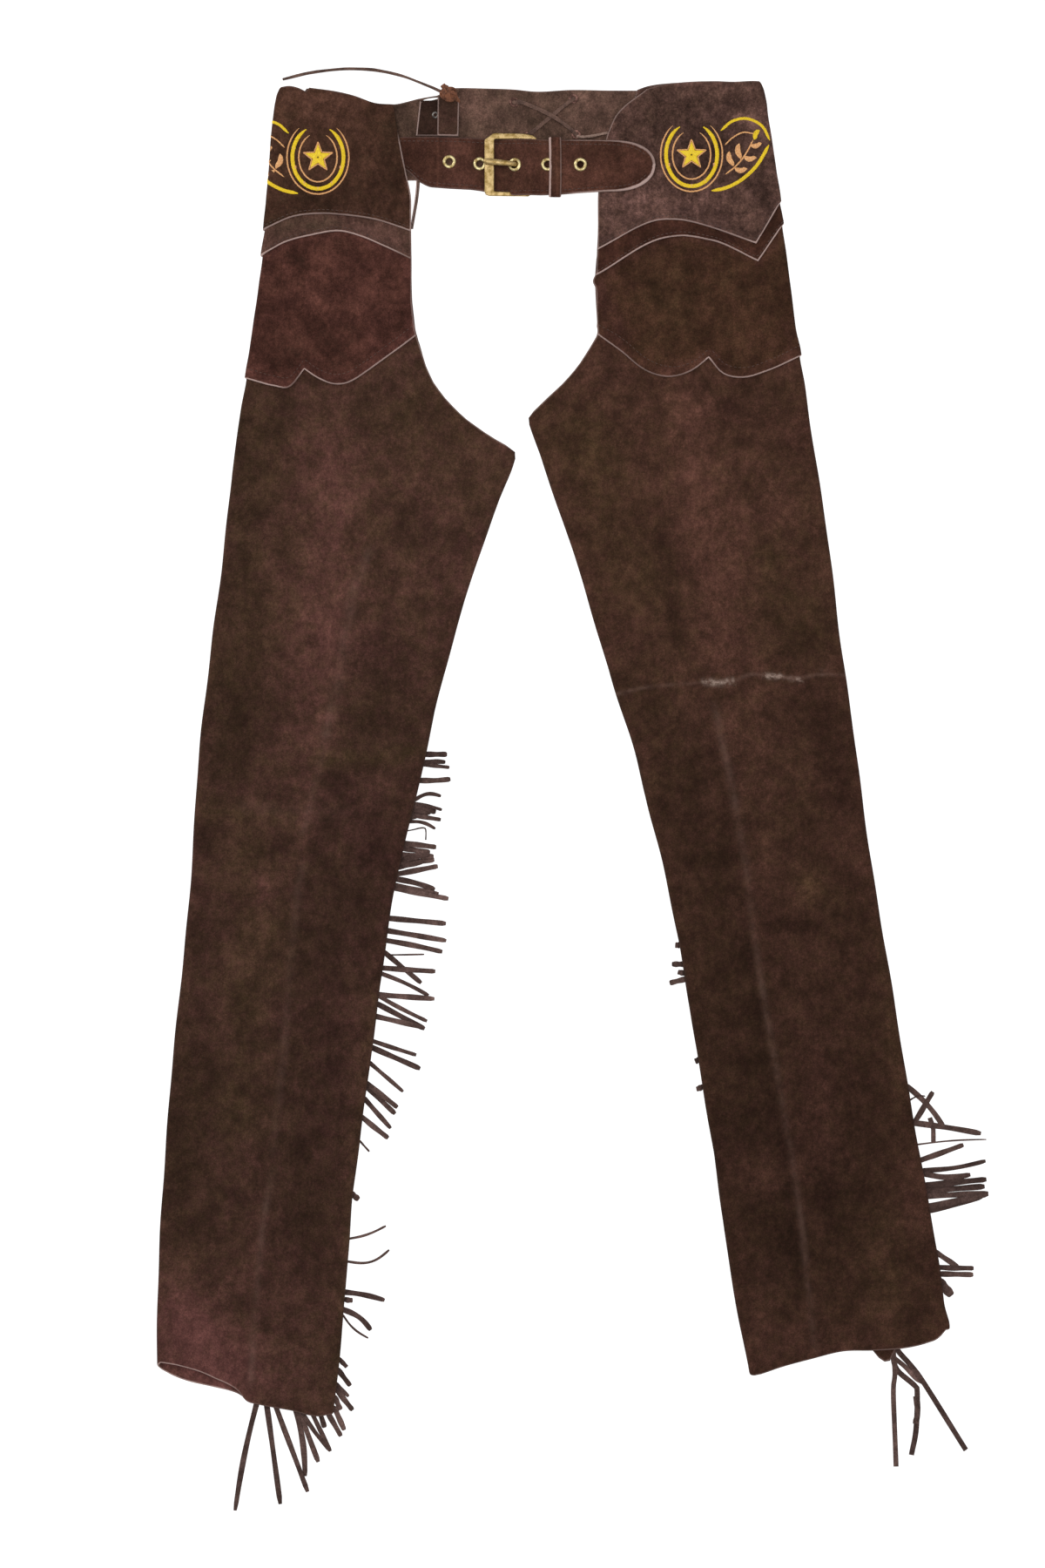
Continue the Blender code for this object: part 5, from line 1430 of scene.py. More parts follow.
keeper = {
    "low": 459.8, "high": 505.2, "top": 8.3, "foot": 1.8, "corner": 1.2, "half": 4.7, "x": -13.9,
    "across": (-1, -0.93, -0.8, -0.6, -0.3, 0, 0.3, 0.6, 0.8, 0.93, 1),
    # a light line where it is creased
    "creaseX": -12.3,
}


def buildKeeper():
    low, high, foot, corner = keeper["low"], keeper["high"], keeper["foot"], keeper["corner"]
    shoulder = keeper["top"] - corner
    section = [(low, mix(foot, shoulder, t)) for t in (0, 0.2, 0.5, 0.8)]
    section += arc((low + corner, shoulder), (corner, corner), 180, 90, 6)
    section += [(mix(low + corner, high - corner, t), keeper["top"]) for t in np.linspace(0.05, 0.95, 19)]
    section += arc((high - corner, shoulder), (corner, corner), 90, 0, 6)
    section += [(high, mix(shoulder, foot + 3.6, t)) for t in (0.5, 1)]
    grid = []
    for y, z in section:
        middle = keeper["x"] + 0.35 * math.sin((y - low) / 14)
        grid.append([(middle + keeper["half"] * a, y, z) for a in keeper["across"]])
    grid = np.array(grid)
    tone = np.where(abs(grid[..., 0] - keeper["creaseX"]) < 0.5, 0.3, 0.0)
    lines = [grid[:, 0], grid[:, -1], grid[0], grid[-1]]
    fields = flatFields(grid, lines, (1.0, 0.3, 0.3, 0.3), tone=tone)
    fields["edgeDistance"] *= np.where(grid[..., 0] < -14, 0.65, 1.0)
    mesh = shellMesh("beltKeeper", grid, fields)
    newPiece("beltKeeper", mesh, suedes["beltSuede"], "belt_suede", "belt_keeper")


buildBelt()
beltStitches()
buildBuckleStrap()
buildKeeper()
print("belt made")


# metal
def latheMesh(name, profile, steps, centre, tilt=0.0):
    # a ring turned from the closed outline of its section, in radius and height
    builder = bmesh.new()
    rings = []
    for step in range(steps):
        turn = math.tau * step / steps
        spots = [Vector((r * math.cos(turn), r * math.sin(turn), z)) * mm for r, z in profile]
        rings.append([builder.verts.new(spot) for spot in spots])
    for ring, after in zip(rings, rings[1:] + rings[:1]):
        for i in range(len(profile)):
            k = (i + 1) % len(profile)
            builder.faces.new((ring[i], after[i], after[k], ring[k]))
    bmesh.ops.recalc_face_normals(builder, faces=builder.faces)
    mesh = bpy.data.meshes.new(name)
    builder.to_mesh(mesh)
    builder.free()
    mesh.transform(Matrix.Translation(Vector(centre) * mm) @ Matrix.Rotation(tilt, 4, "Y"))
    smoothMesh(mesh, 50)
    return mesh


def makeEyelets():
    half = belt["thickness"] / 2
    # the rolled flange on top, the plain one below, and the barrel between them
    profile = arc((3.85, half - 0.1), (1.35, 0.95), 0, 180, 8)
    profile += [(2.45, -half - 0.1), (2.75, -half - 0.45), (4.4, -half - 0.3), (4.4, -half - 0.05)]
    profile += [(2.95, -half), (2.95, half - 0.3), (4.9, half - 0.3)]
    for number, (x, y) in enumerate(belt["eyelets"], 1):
        name = f"beltEyelet{number}"
        slope = math.atan2(beltAt(x + 2)[2] - beltAt(x - 2)[2], 4)
        mesh = latheMesh(name, profile, 48, beltAt(x, y) + (0, 0, 0.12), -slope)
        newPiece(name, mesh, eyeletMetal, "brass", f"eyelet_{number}")


def makeLaceRings():
    level = leather["suede"]
    profile = arc((2.75, level), (1.1, 0.5), 0, 180, 7)
    profile += [(1.4, 0.1), (1.58, 0.05), (1.58, level - 0.1), (3.7, level - 0.1)]
    for number, (x, y) in enumerate(backYoke["holes"], 1):
        name = f"laceRing{number}"
        newPiece(name, latheMesh(name, profile, 32, (x, y, 0)), copperMetal, "brass")
    top = tab["level"] + leather["suede"]
    profile = [*arc((1.95, top), (0.8, 0.55), 0, 180, 7), (1.2, top - 0.5), (2.4, top - 0.3)]
    newPiece("tabEyelet", latheMesh("tabEyelet", profile, 32, (*tab["eyelet"], 0)), greyMetal, "brass")


def tubeMesh(path, radii, flat=1.0, steps=16, up=(0, 1, 0)):
    # points and faces of a closed bar along a path; flat is its height over its width
    path = np.array(path, float)
    tangent = unit(np.gradient(path, axis=0))
    across = unit(np.cross(tangent, np.array(up, float)))
    other = np.cross(across, tangent)
    points = []
    for i, radius in enumerate(radii):
        for step in range(steps):
            turn = math.tau * step / steps
            points.append(path[i] + radius * (across[i] * flat * math.cos(turn) + other[i] * math.sin(turn)))
    sideFaces, caps = tubeFaces(len(path), steps)
    return points, sideFaces + caps


buckle = {
    "y": 484.0, "heel": (-34.7, 4.6), "tilt": math.radians(2.0), "thickness": 2.4, "round": 0.85,
    "barHalf": 21.9, "barRadius": 1.15,
    # outline of the frame from the heel bar, in its own plane
    "outline": (
        (-33.2, -20.0), (-33.2, 18.2), (-32.5, 19.7), (-26.8, 23.9), (-24.8, 24.4), (-8.0, 24.3),
        (-1.5, 24.0), (3.6, 22.9), (6.6, 21.0), (7.0, 19.0), (2.6, 19.5), (-9.0, 19.9), (-24.4, 19.8),
        (-25.3, 19.4), (-25.6, 18.6), (-25.6, -19.2), (-25.4, -19.9), (-24.4, -20.1), (1.8, -20.8),
        (1.8, -22.8), (0.6, -23.8), (-29.6, -23.6), (-32.2, -22.6),
    ),
}


def makeBuckle():
    curve = bpy.data.curves.new("buckleFrame", "CURVE")
    curve.dimensions = "2D"
    curve.fill_mode = "BOTH"
    line = curve.splines.new("POLY")
    line.points.add(len(buckle["outline"]) - 1)
    for point, (x, y) in zip(line.points, buckle["outline"]):
        point.co = (x * mm, y * mm, 0, 1)
    line.use_cyclic_u = True
    curve.bevel_depth = buckle["round"] * mm
    curve.bevel_resolution = 4
    curve.offset = -buckle["round"] * mm
    curve.extrude = (buckle["thickness"] / 2 - buckle["round"]) * mm
    holder = addObject("buckleCurve", curve)
    mesh = evaluatedMesh(holder)
    bpy.data.objects.remove(holder)
    builder = bmesh.new()
    builder.from_mesh(mesh)
    bmesh.ops.remove_doubles(builder, verts=builder.verts, dist=0.00001)
    # the heel bar that carries the prong and the strap
    ys = np.linspace(-buckle["barHalf"], buckle["barHalf"], 9)
    points, faces = tubeMesh([(0, y, 0) for y in ys], [buckle["barRadius"]] * len(ys), up=(0, 0, 1))
    made = [builder.verts.new(Vector(point) * mm) for point in points]
    for face in faces:
        builder.faces.new([made[i] for i in face])
    bmesh.ops.recalc_face_normals(builder, faces=builder.faces)
    builder.to_mesh(mesh)
    builder.free()
    place = Matrix.Translation(Vector((buckle["heel"][0], buckle["y"], buckle["heel"][1])) * mm)
    mesh.transform(place @ Matrix.Rotation(buckle["tilt"], 4, "Y"))
    mesh.name = "buckleFrame"
    mesh.materials.clear()
    smoothMesh(mesh, 35)
    newPiece("buckleFrame", mesh, brassMetal, "brass", "buckle_frame")


prong = {
    "y": 484.1, "slant": -0.1, "loop": 2.2, "loopHalf": 0.75, "flat": 0.7,
    # x, z, half width
    "route": (
        (-39.0, 2.5, 0.9), (-41.4, 3.3, 1.3), (-42.6, 5.2, 1.7), (-43.8, 7.2, 1.9), (-46.0, 8.6, 2.0),
        (-50.5, 9.1, 2.05), (-56.0, 9.0, 2.3), (-62.0, 8.75, 2.4), (-66.0, 8.6, 2.3), (-67.8, 8.4, 1.8),
        (-68.6, 8.2, 0.8),
    ),
}


def makeProng():
    loop = arc(buckle["heel"], (prong["loop"],) * 2, 150, -90, 12)
    route = softLine([*((x, z, prong["loopHalf"]) for x, z in loop), *prong["route"]])[::3]
    y = prong["y"] + prong["slant"] * (route[:, 0] + 42)
    path = np.stack([route[:, 0], y, route[:, 1]], axis=1)
    points, faces = tubeMesh(path, np.maximum(route[:, 2], 0.15), prong["flat"], steps=20)
    mesh = tidyMesh("buckleProng", points, faces, {}, sharpAngle=60)
    newPiece("buckleProng", mesh, brassMetal, "brass", "prong")


makeEyelets()
makeLaceRings()
makeBuckle()
makeProng()
print("metal made")


# laces and knot
ribbonSection = (
    (-0.5, -0.1), (-0.42, -0.5), (0, -0.5), (0.42, -0.5), (0.5, -0.1), (0.46, 0.42), (0.2, 0.5),
    (-0.2, 0.5), (-0.46, 0.42),
)


def ribbon(path, widths, thickness, twists=0.0, ups=(0.0, 0.0, 1.0)):
    # points and faces of one flat strand; twists turn it about its own line, in degrees
    path = np.array(path, float)
    shape = (len(path), 1)
    tangent = unit(np.gradient(path, axis=0))
    across = unit(np.cross(np.broadcast_to(ups, path.shape), tangent))
    above = np.cross(tangent, across)
    turn = np.radians(np.broadcast_to(np.reshape(twists, (-1, 1)), shape))
    side = across * np.cos(turn) + above * np.sin(turn)
    top = above * np.cos(turn) - across * np.sin(turn)
    widths = np.broadcast_to(np.reshape(widths, (-1, 1)), shape)
    rings = [path + side * widths * u + top * thickness * v for u, v in ribbonSection]
    sideFaces, caps = tubeFaces(len(path), len(ribbonSection))
    return np.stack(rings, axis=1).reshape(-1, 3), sideFaces + caps


def joinParts(name, parts, attributes=None):
    # attributes hold one value for each part
    points, faces, total = [], [], 0
    for partPoints, partFaces in parts:
        points.append(partPoints)
        faces += [tuple(i + total for i in face) for face in partFaces]
        total += len(partPoints)
    sizes = [len(part) for part in points]
    joined = {key: np.repeat(values, sizes) for key, values in (attributes or {}).items()}
    return tidyMesh(name, np.concatenate(points), faces, joined, sharpAngle=45)


def laceWidths(count, width, seed):
    phase = np.linspace(0, 14, count) + seed
    return width * (1 + 0.07 * np.sin(phase) + 0.05 * np.sin(phase * 2.7))


lace = {
    "width": 3.2, "runWidth": 2.0, "thickness": 1.1, "twist": 14.0, "points": 40,
    # middle of each lace: x, y, z
    "over": (
        (-40.6, 533.0, 2.3), (-30.7, 529.2, 2.3), (-16.6, 522.4, 3.4), (-7.3, 516.3, 2.3), (-1.4, 511.6, 2.2),
    ),
    "under": ((-3.4, 532.6, 2.2), (-9.5, 527.8, 2), (-16.2, 522.3, 2), (-26, 514.2, 2), (-32.8, 508.7, 2)),
    "run": ((2.8, 506.9, 1.7), (5.6, 506.2, 2.1), (13.3, 506.7, 2.2), (20.3, 508.0, 2.2), (26.5, 509.2, 2.0)),
    # where a lace dips into a hole: number of the hole, and place from its middle
    "overDips": ((0, -1.7, 0.9, 0.6), (0, 1.4, -0.6, 0.9), (2, 1.6, -1.6, 0.6)),
    "underDips": ((1, 1.6, 1.2, 0.6), (1, -1.2, -1.0, 0.9), (3, -1.5, -1.3, 0.6)),
}


def makeLace(name, points, width, material, node):
    count = lace["points"]
    twists = lace["twist"] * np.sin(np.linspace(0, 5, count))
    widths = laceWidths(count, width, len(name))
    part = ribbon(resample(softLine(points), count), widths, lace["thickness"], twists)
    newPiece(name, joinParts(name, [part]), material, "lace_leather", node)


def crossedLace(key):
    holes = backYoke["holes"]
    dips = [(holes[hole][0] + x, holes[hole][1] + y, z) for hole, x, y, z in lace[key + "Dips"]]
    return [*dips[:2], *lace[key], dips[2]]


tail = {
    "width": 2.4, "thickness": 1.2, "points": 90, "twist": 55.0,
    "route": (
        (-101.4, 540.3, 5.8), (-107.5, 543.4, 4.4), (-112.5, 545.8, 2.3), (-118.5, 548.4, 1.4),
        (-132, 553.3, 1.3), (-150.7, 557.3, 1.3), (-165, 558.3, 1.3), (-179.7, 558, 1.3),
        (-201.3, 555.3, 1.3), (-222.3, 550.3, 1.3),
    ),
}


def makeTail():
    count = tail["points"]
    path = resample(softLine(tail["route"]), count)
    twists = tail["twist"] * np.sin(np.linspace(0.5, 7.5, count))
    part = ribbon(path, laceWidths(count, tail["width"], 1.3), tail["thickness"], twists)
    piece = newPiece("laceTail", joinParts("laceTail", [part]), laceLeather, "lace_leather", "lace_tail")


knot = {
    "centre": (-95.0, 538.0, 6.3), "half": (6.2, 5.2, 2.5), "strip": 3.0, "thickness": 1.2, "core": 0.96,
    # tilt and turn of each wound strip
    "turns": ((0, 20), (62, 55), (118, -35), (75, 120), (105, 170), (90, 85)),
    # route and width of the two ends
    "ends": (
        (((-96, 542.5, 6.6), (-98.6, 543.8, 6.4), (-99.8, 545.2, 5.9)), 4.2),
        (((-90, 536, 6), (-88.2, 533.6, 4.6), (-88.6, 531.6, 3.6)), 3.4),
    ),
}


def makeKnot():
    # a turk's-head style lump: strips of rawhide wound over each other
    centre, half = np.array(knot["centre"]), np.array(knot["half"])
    parts = []
    around = np.arange(41) * math.tau / 40
    for number, (tilt, turn) in enumerate(knot["turns"]):
        tilt, turn = math.radians(tilt), math.radians(turn)
        x, y, z = np.cos(around), np.sin(around) * math.cos(tilt), np.sin(around) * math.sin(tilt)
        x, y = x * math.cos(turn) - y * math.sin(turn), x * math.sin(turn) + y * math.cos(turn)
        loop = np.stack([x, y, z], axis=1) * (1 + 0.07 * np.sin(3 * around + number * 1.9))[:, None]
        parts.append(ribbon(centre + loop * half, knot["strip"], knot["thickness"], ups=unit(loop)))
    core = bmesh.new()
    bmesh.ops.create_uvsphere(core, u_segments=20, v_segments=12, radius=1.0)
    corePoints = np.array([vertex.co for vertex in core.verts]) * half * knot["core"] + centre
    parts.append((corePoints, [tuple(vertex.index for vertex in face.verts) for face in core.faces]))
    core.free()
    for points, width in knot["ends"]:
        parts.append(ribbon(resample(softLine(points), 10), width, 1.3))
    newPiece("laceKnot", joinParts("laceKnot", parts), knotLeather, "knot_leather", "lace_knot")


makeLace("laceCrossOver", crossedLace("over"), lace["width"], laceLeather, "lace_cross_over")
makeLace("laceCrossUnder", crossedLace("under"), lace["width"], laceLeather, "lace_cross_under")
makeLace("laceRun", lace["run"], lace["runWidth"], paleLace, "lace_run")
makeTail()
makeKnot()
print("laces made")


# fringe
# Each row: y where the strand leaves the leg's edge, how far it runs across and up, bow, width.
leftEdgeStrands = (
    (34, 16, 0, 0, 3), (28, 16, 0, 0.5, 2.6), (26, 19.5, -2, 0, 2.2), (14, 23, 1, -0.5, 3),
    (-0.5, 19.5, 2.5, 3, 2.2), (-3.5, 21, -5, 0.5, 2), (-6, 17, -4, 0, 3.4), (-9, 16.5, 0, -0.5, 3.2),
    (-12.5, 22.5, -3.5, 0, 2.6), (-14, 15, 4, 0, 3), (-17.5, 19.5, -5.5, 2, 2), (-34, 24, -3, 0, 3.2),
    (-38, 20, -3, 0, 3.2), (-43, 24, -1, 0, 3.6), (-47, 22, 5, 0, 3.2), (-50, 26, 3.5, 0, 3.2),
    (-52, 18, 4, 0, 3.6), (-57.5, 30.5, 6, 0, 3.4), (-61.5, 29, -8, 1, 3.2), (-66, 33, -6.5, 0, 2.4),
    (-68.5, 41, -8, 0, 3.2), (-91.5, 43, -4, 0, 3), (-101, 44.5, -7.5, 0, 3), (-108.5, 42.5, -8.5, 0.5, 3),
    (-118, 27.5, -23, 0, 2.8), (-119.5, 30, 0.5, 0, 1.2), (-129.5, 40, -2.5, 0, 3.2),
    (-134, 35.5, -16.5, 1, 2.4), (-150, 42.5, -3, 0, 3.4), (-151, 37, -19, -0.5, 2.4),
    (-157, 36, -19, 0, 3), (-166.5, 37, -8.5, 0, 3), (-185.5, 33, -10.5, 0, 2.6),
    (-190.5, 36.5, -16, 0, 3.4), (-202.5, 25, -21.5, 0, 2.4), (-218, 23, -18, 0, 3),
    (-220.5, 21.5, -20.5, 0, 3), (-230, 19.5, -22, 0, 2.8), (-244, 19.5, -15.5, 0, 3.2),
    (-262, 7, -8, 0, 1.4), (-303, 4.5, -3.5, 0, 4.5), (-336.5, 28, 10, -1.5, 1.6), (-354, 31.5, 9, -5, 1.6),
    (-377.5, 30, -6, 1, 3.2), (-383, 6, -0.5, 0, 3), (-391, 20.5, -15.5, 2.5, 3.2),
    (-395.5, 19, -17, -2, 1.4), (-429, 5.5, -5.5, 0, 2.6), (-437.5, 9, -11.5, 0, 3.4),
    (-448, 9, -9, 0, 2.2), (-451.5, 12.5, -16, 0, 3.4), (-458.5, 4, -9, 0, 3.2),
)
# x where the strand leaves the hem, then as above
leftHemStrands = (
    (-182, 7, -14, 0, 3.2), (-189.5, 12, -19, 0, 3), (-195, 5, -13, 0, 3), (-202, 16.5, -31.5, 0, 2.6),
    (-210, 24, -32, -1, 2.4), (-211, 16, -41, 0, 3.2), (-213, 8, -52, 2, 4.2), (-229, 26, -67, 0, 3),
    (-235, 11, -78, 0, 3.2), (-241, -17.5, -84, -1.5, 3.4),
)
rightInnerStrands = (
    (-112, -3, 0, 0, 4), (-126.5, -8.5, 0, 0, 3.6), (-133.5, -5, 1, 0, 3.4), (-138, -12, -3, 0, 3.4),
    (-200, -2.5, -1, 0, 4), (-220.5, -4.5, -1.5, 0, 4),
)
rightOuterStrands = (
    (-220.5, 27.5, -31, 2, 3), (-230.5, 11.5, 3, 1.5, 1.2), (-248.5, 14.5, 24.5, 0, 3.2),
    (-248, 51.5, -8, 0.5, 3.8), (-264.5, 52.5, 4, 1, 1.2), (-276.5, 32.5, 12, 0, 4.0),
    (-284.5, 48, 7.5, -1.5, 2.8), (-286.5, 36, -1, -2.5, 4.2), (-295.5, 46.5, 4.5, 0, 4.4),
    (-300, 44.5, 3.5, 0, 4.4), (-304, 46.5, 2.5, 0, 3.8), (-311.5, 45, 9.5, -0.5, 4.2),
    (-315, 40, 10.5, -0.5, 3.4), (-347.5, 16, -10.5, 0, 3), (-358.5, 26, -0.5, 0, 3),
    (-363.5, 25, -0.5, 0, 3), (-371, 7.5, -9, 0, 6.5),
)
# whole visible routes of a few bent strands
leftBentStrands = (
    (((-129, -25), (-122, -23.6), (-117, -22.4), (-113.3, -22.6), (-112.6, -26), (-112.8, -31.5)), 0.9),
)
rightBentStrands = (
    (((244.6, -418), (245.1, -424), (246.3, -440), (245.1, -455.3), (247.1, -510.7)), 2.8),
    (((244.6, -424), (247.6, -436.5), (260.2, -447.8), (263.2, -452.7), (262.4, -483), (258.9, -501.9)), 3.2),
    (((244, -414), (248.9, -422.7), (258.9, -434), (269, -447.8), (300.5, -498)), 3.0),
    (((246, -428), (254, -434.5), (262, -443), (267, -446)), 2.6),
    (((262.6, -457), (263.6, -468), (262.2, -478)), 4.6),
    (((273, -244), (275.5, -252), (275.7, -262.4)), 2.6),
)
fringe = {
    # how much wider strands are cut than listed, by listed width
    "fullness": ((1.2, 1.1), (2.0, 1.4), (3.0, 1.42), (3.6, 1.22), (4.4, 1.08)),
    "thickness": 1.2, "level": 1.05, "rise": 0.75, "segments": 16, "bentSegments": 26,
    # half width, thickness and height of the strip that they are cut from
    "strip": 4.0, "stripThickness": 1.3, "stripLevel": 0.95, "stripTop": 37.0,
    "hiddenPitch": 13.0, "hiddenReach": 58.0, "hiddenWidth": 3.0, "hiddenLevel": 0.9,
}


def seamX(side, y):
    return float(outlineAt(side, "outer", y) + outlineAt(side, "innerBack", y)) / 2


def fuller(width):
    return np.interp(width, *zip(*fringe["fullness"]))


def strandLine(points, bow, count):
    line = resample(softLine(points), count)
    chord = line[-1] - line[0]
    normal = unit(np.array((-chord[1], chord[0])))
    return line + np.sin(np.linspace(0, math.pi, count))[:, None] * normal * bow


def strandPart(root, edge, tip, bow, width, order):
    # hidden under the leg from the root to the edge, then free to the tip
    root, edge, tip = (np.array(point, float) for point in (root, edge, tip))
    under = root + (edge - root) * np.linspace(0, 1, 5)[:-1, None]
    free = strandLine([edge, mix(edge, tip, 0.5), tip], bow, fringe["segments"])
    flat = np.concatenate([under, free])
    share = np.concatenate([np.zeros(4), np.linspace(0, 1, fringe["segments"])])
    level = fringe["level"] + fringe["rise"] * (order % 3) * smooth(share * 3)
    level = level + 0.5 * np.sin(share * 4 + order) * smooth(share * 2) + 0.25
    twist = smooth(share * 2.5) * (dice.uniform(-16, 16) + dice.uniform(-22, 22) * share)
    widths = width * (fuller(width) + 0.1 * np.sin(share * 9 + order * 2.1)) * (1 - 0.1 * share**3)
    widths[-1] *= 0.7
    # strands lie on the floor at the lowest
    turnedHalf = np.abs(np.sin(np.radians(twist))) * widths / 2
    lowest = fringe["thickness"] / 2 + np.maximum(turnedHalf + 0.05, 0.1)
    return ribbon(np.column_stack([flat, np.maximum(level, lowest)]), widths, fringe["thickness"], twist)


def rootFor(side, edge, dx, dy, outward):
    # where the strand's line meets the strip under the leg
    slope = np.clip(dy / max(abs(dx), 1e-6), -0.55, 0.55)
    y = edge[1]
    for _ in range(3):
        rootX = seamX(side, y) + outward * (fringe["strip"] - 1.5)
        y = edge[1] - slope * abs(edge[0] - rootX)
    return rootX, min(y, fringe["stripTop"])


def stripPart(side, high, low):
    path = [(seamX(side, y), y, fringe["stripLevel"]) for y in np.linspace(high, low, 60)]
    return ribbon(path, 2 * fringe["strip"], fringe["stripThickness"])


def hemStrand(side, x, dx, dy, bow, width, order):
    outerX, innerX = outlineAt(side, "outer", -450), outlineAt(side, "inner", -450)
    y = edgeAt(side, "hemBack", (x - outerX) / (innerX - outerX)) + 2
    root = (seamX(side, -420) + (x + 240) * 0.25, y + 22)
    return strandPart(root, (x, y), (x + dx, y - 2 + dy), bow, width, order)


def bentStrand(route, width, order):
    count = fringe["bentSegments"]
    share = np.linspace(0, 1, count)
    twist = smooth(share * 2) * dice.uniform(12, 35) * np.sin(share * 5 + order)
    width = width * fuller(width)
    level = np.abs(np.sin(np.radians(twist))) * width / 2 + 0.9 + 0.5 * (order % 2)
    path = np.column_stack([strandLine(route, 0.0, count), level])
    return ribbon(path, width, fringe["thickness"], twist)


def hiddenStrands(side, outward, y, lowest):
    # short plain strands under the leg, where none shows
    made = []
    while y > lowest:
        rootX = seamX(side, y) + outward * (fringe["strip"] - 1)
        reach = fringe["hiddenReach"] + dice.uniform(-6, 6)
        lean = math.radians(dice.uniform(6, 20))
        tip = (rootX + outward * reach * math.cos(lean), y - reach * math.sin(lean))
        line = np.column_stack([resample(np.array([(rootX, y), tip]), 4), np.full(4, fringe["hiddenLevel"])])
        made.append(ribbon(line, fringe["hiddenWidth"], fringe["thickness"]))
        y -= fringe["hiddenPitch"] * dice.uniform(0.9, 1.1)
    return made


def buildFringe(side, edgeStrands, hemStrands, bent, strip, hidden):
    parts = [stripPart(side, *strip)]
    for outward, rows in edgeStrands:
        column = "inner" if outward == side["towardInner"] else "outer"
        for y, dx, dy, bow, width in rows:
            edge = (float(outlineAt(side, column, y)), y)
            root = rootFor(side, edge, dx, dy, outward)
            parts.append(strandPart(root, edge, (edge[0] + dx, y + dy), bow, width, len(parts) - 1))
    for row in hemStrands:
        parts.append(hemStrand(side, *row, len(parts) - 1))
    for route, width in bent:
        parts.append(bentStrand(route, width, len(parts) - 1))
    for run in hidden:
        parts += hiddenStrands(side, *run)
    # the strip comes first and is plain
    count = len(parts) - 1
    attributes = {
        "tone": [0.0] + [dice.uniform(-0.28, 0.3) for _ in range(count)],
        "warmth": [0.0] + [dice.uniform(-0.08, 0.12) for _ in range(count)],
        "edgeDistance": [9.0] * len(parts), "edgeLight": [0.0] * len(parts),
    }
    name = "fringe" + side["name"].title()
    mesh = joinParts(name, parts, attributes)
    newPiece(name, mesh, suedes["fringeSuede"], "fringe_suede", "fringe_" + side["name"])
    print(f"{name}: {count} strands")


buildFringe(
    sides["left"], ((1, leftEdgeStrands),), leftHemStrands, leftBentStrands, (38, -446),
    ((1, 36, -430), (-1, -100, -420)),
)
buildFringe(
    sides["right"], ((-1, rightInnerStrands), (1, rightOuterStrands)), (), rightBentStrands, (38, -416),
    ((1, 34, -215), (-1, 30, -400)),
)


# embroidery
def starPoints(centre, outer, inner, turn):
    points = []
    for i in range(11):
        radius = inner if i % 2 else outer
        angle = math.radians(turn + 36 * i)
        points.append(centre + radius * np.array((math.cos(angle), math.sin(angle))))
    return points


# Motif paths run in millimetres from its centre. A stroke is: thread, width, points. A leaf is:
# thread, width, from, to, bend.
gold, tan = "gold", "tan"
shoe = (-17.0, 1.0)
motif = {
    "strokes": (
        (gold, 3.3, arc(shoe, (19.5, 24.0), 118, 422, 40)),
        (tan, 1.3, arc(shoe, (14.6, 18.6), 116, 424, 34)),
        (tan, 1.3, arc(shoe, (23.6, 28.0), 128, 412, 40)),
        (gold, 3.0, ((-1.5, -26.5), (10, -24.0), (22, -17.5), (33, -7.0), (42.0, 8.0))),
        (gold, 2.4, ((5.5, 19.5), (14, 26.5), (25, 28.5), (36.5, 23.0), (42.6, 12.0))),
        (tan, 1.3, ((9.0, -14.0), (17, -7.5), (24, 1.0), (30, 12.0))),
        (tan, 1.2, ((8.5, 8.5), (15, 14.5), (22.5, 18.0), (30.5, 17.0))),
    ),
    # outer and inner radius of its points, and turn
    "star": (10.5, 4.4, 90),
    "leaves": (
        (tan, 5.2, (15, -7.8), (12.0, 3.5), 1.5), (tan, 5.2, (20.5, -2.5), (19.5, 9.5), 1.5),
        (tan, 5.0, (16.0, -9.0), (25.5, -10.0), -1.5), (tan, 5.0, (23.0, 0.0), (32.5, -1.5), -1.5),
        (tan, 4.6, (28.0, 8.5), (36.5, 9.5), -1.2), (gold, 4.8, (30.5, 12.5), (35.0, 19.5), 1.0),
    ),
    "nails": (
        (-35.6, 8), (-34.2, -6.5), (-27.5, -18.5), (-17, -22.6), (-6.5, -18.5), (0.2, -6.5), (1.6, 8),
    ),
}
embroidery = {
    "pitch": 0.42, "threadWidth": 0.62, "height": 0.34, "slant": 0.35,
    # side: centre, size, 1 or -1 to face the other way
    "places": {"right": ((107.5, 491.0), 1.0, 1), "left": ((-212.0, 489.0), 1.0, -1)},
}


def bandThreads(points, widths, slant, ragged=0.12):
    # thread ends on both sides of a path
    line = softLine(points)
    count = max(4, int(pathLengths(line)[-1] / embroidery["pitch"]))
    line = resample(line, count)
    tangent = unit(np.gradient(line, axis=0))
    normal = np.stack([-tangent[:, 1], tangent[:, 0]], axis=1)
    half = widths(np.linspace(0, 1, count))[:, None] / 2
    rough = np.array([dice.uniform(-ragged, ragged) for _ in range(count)])[:, None]
    lean = tangent * slant * half
    return line - normal * (half + rough) - lean, line + normal * (half - rough) + lean


def evenWidth(width):
    return lambda share: width * np.sqrt(np.clip(np.minimum(share, 1 - share) * 14, 0.12, 1))


def leafWidth(width):
    return lambda share: width * np.clip(np.sin(share * math.pi), 0.02, 1) ** 0.75


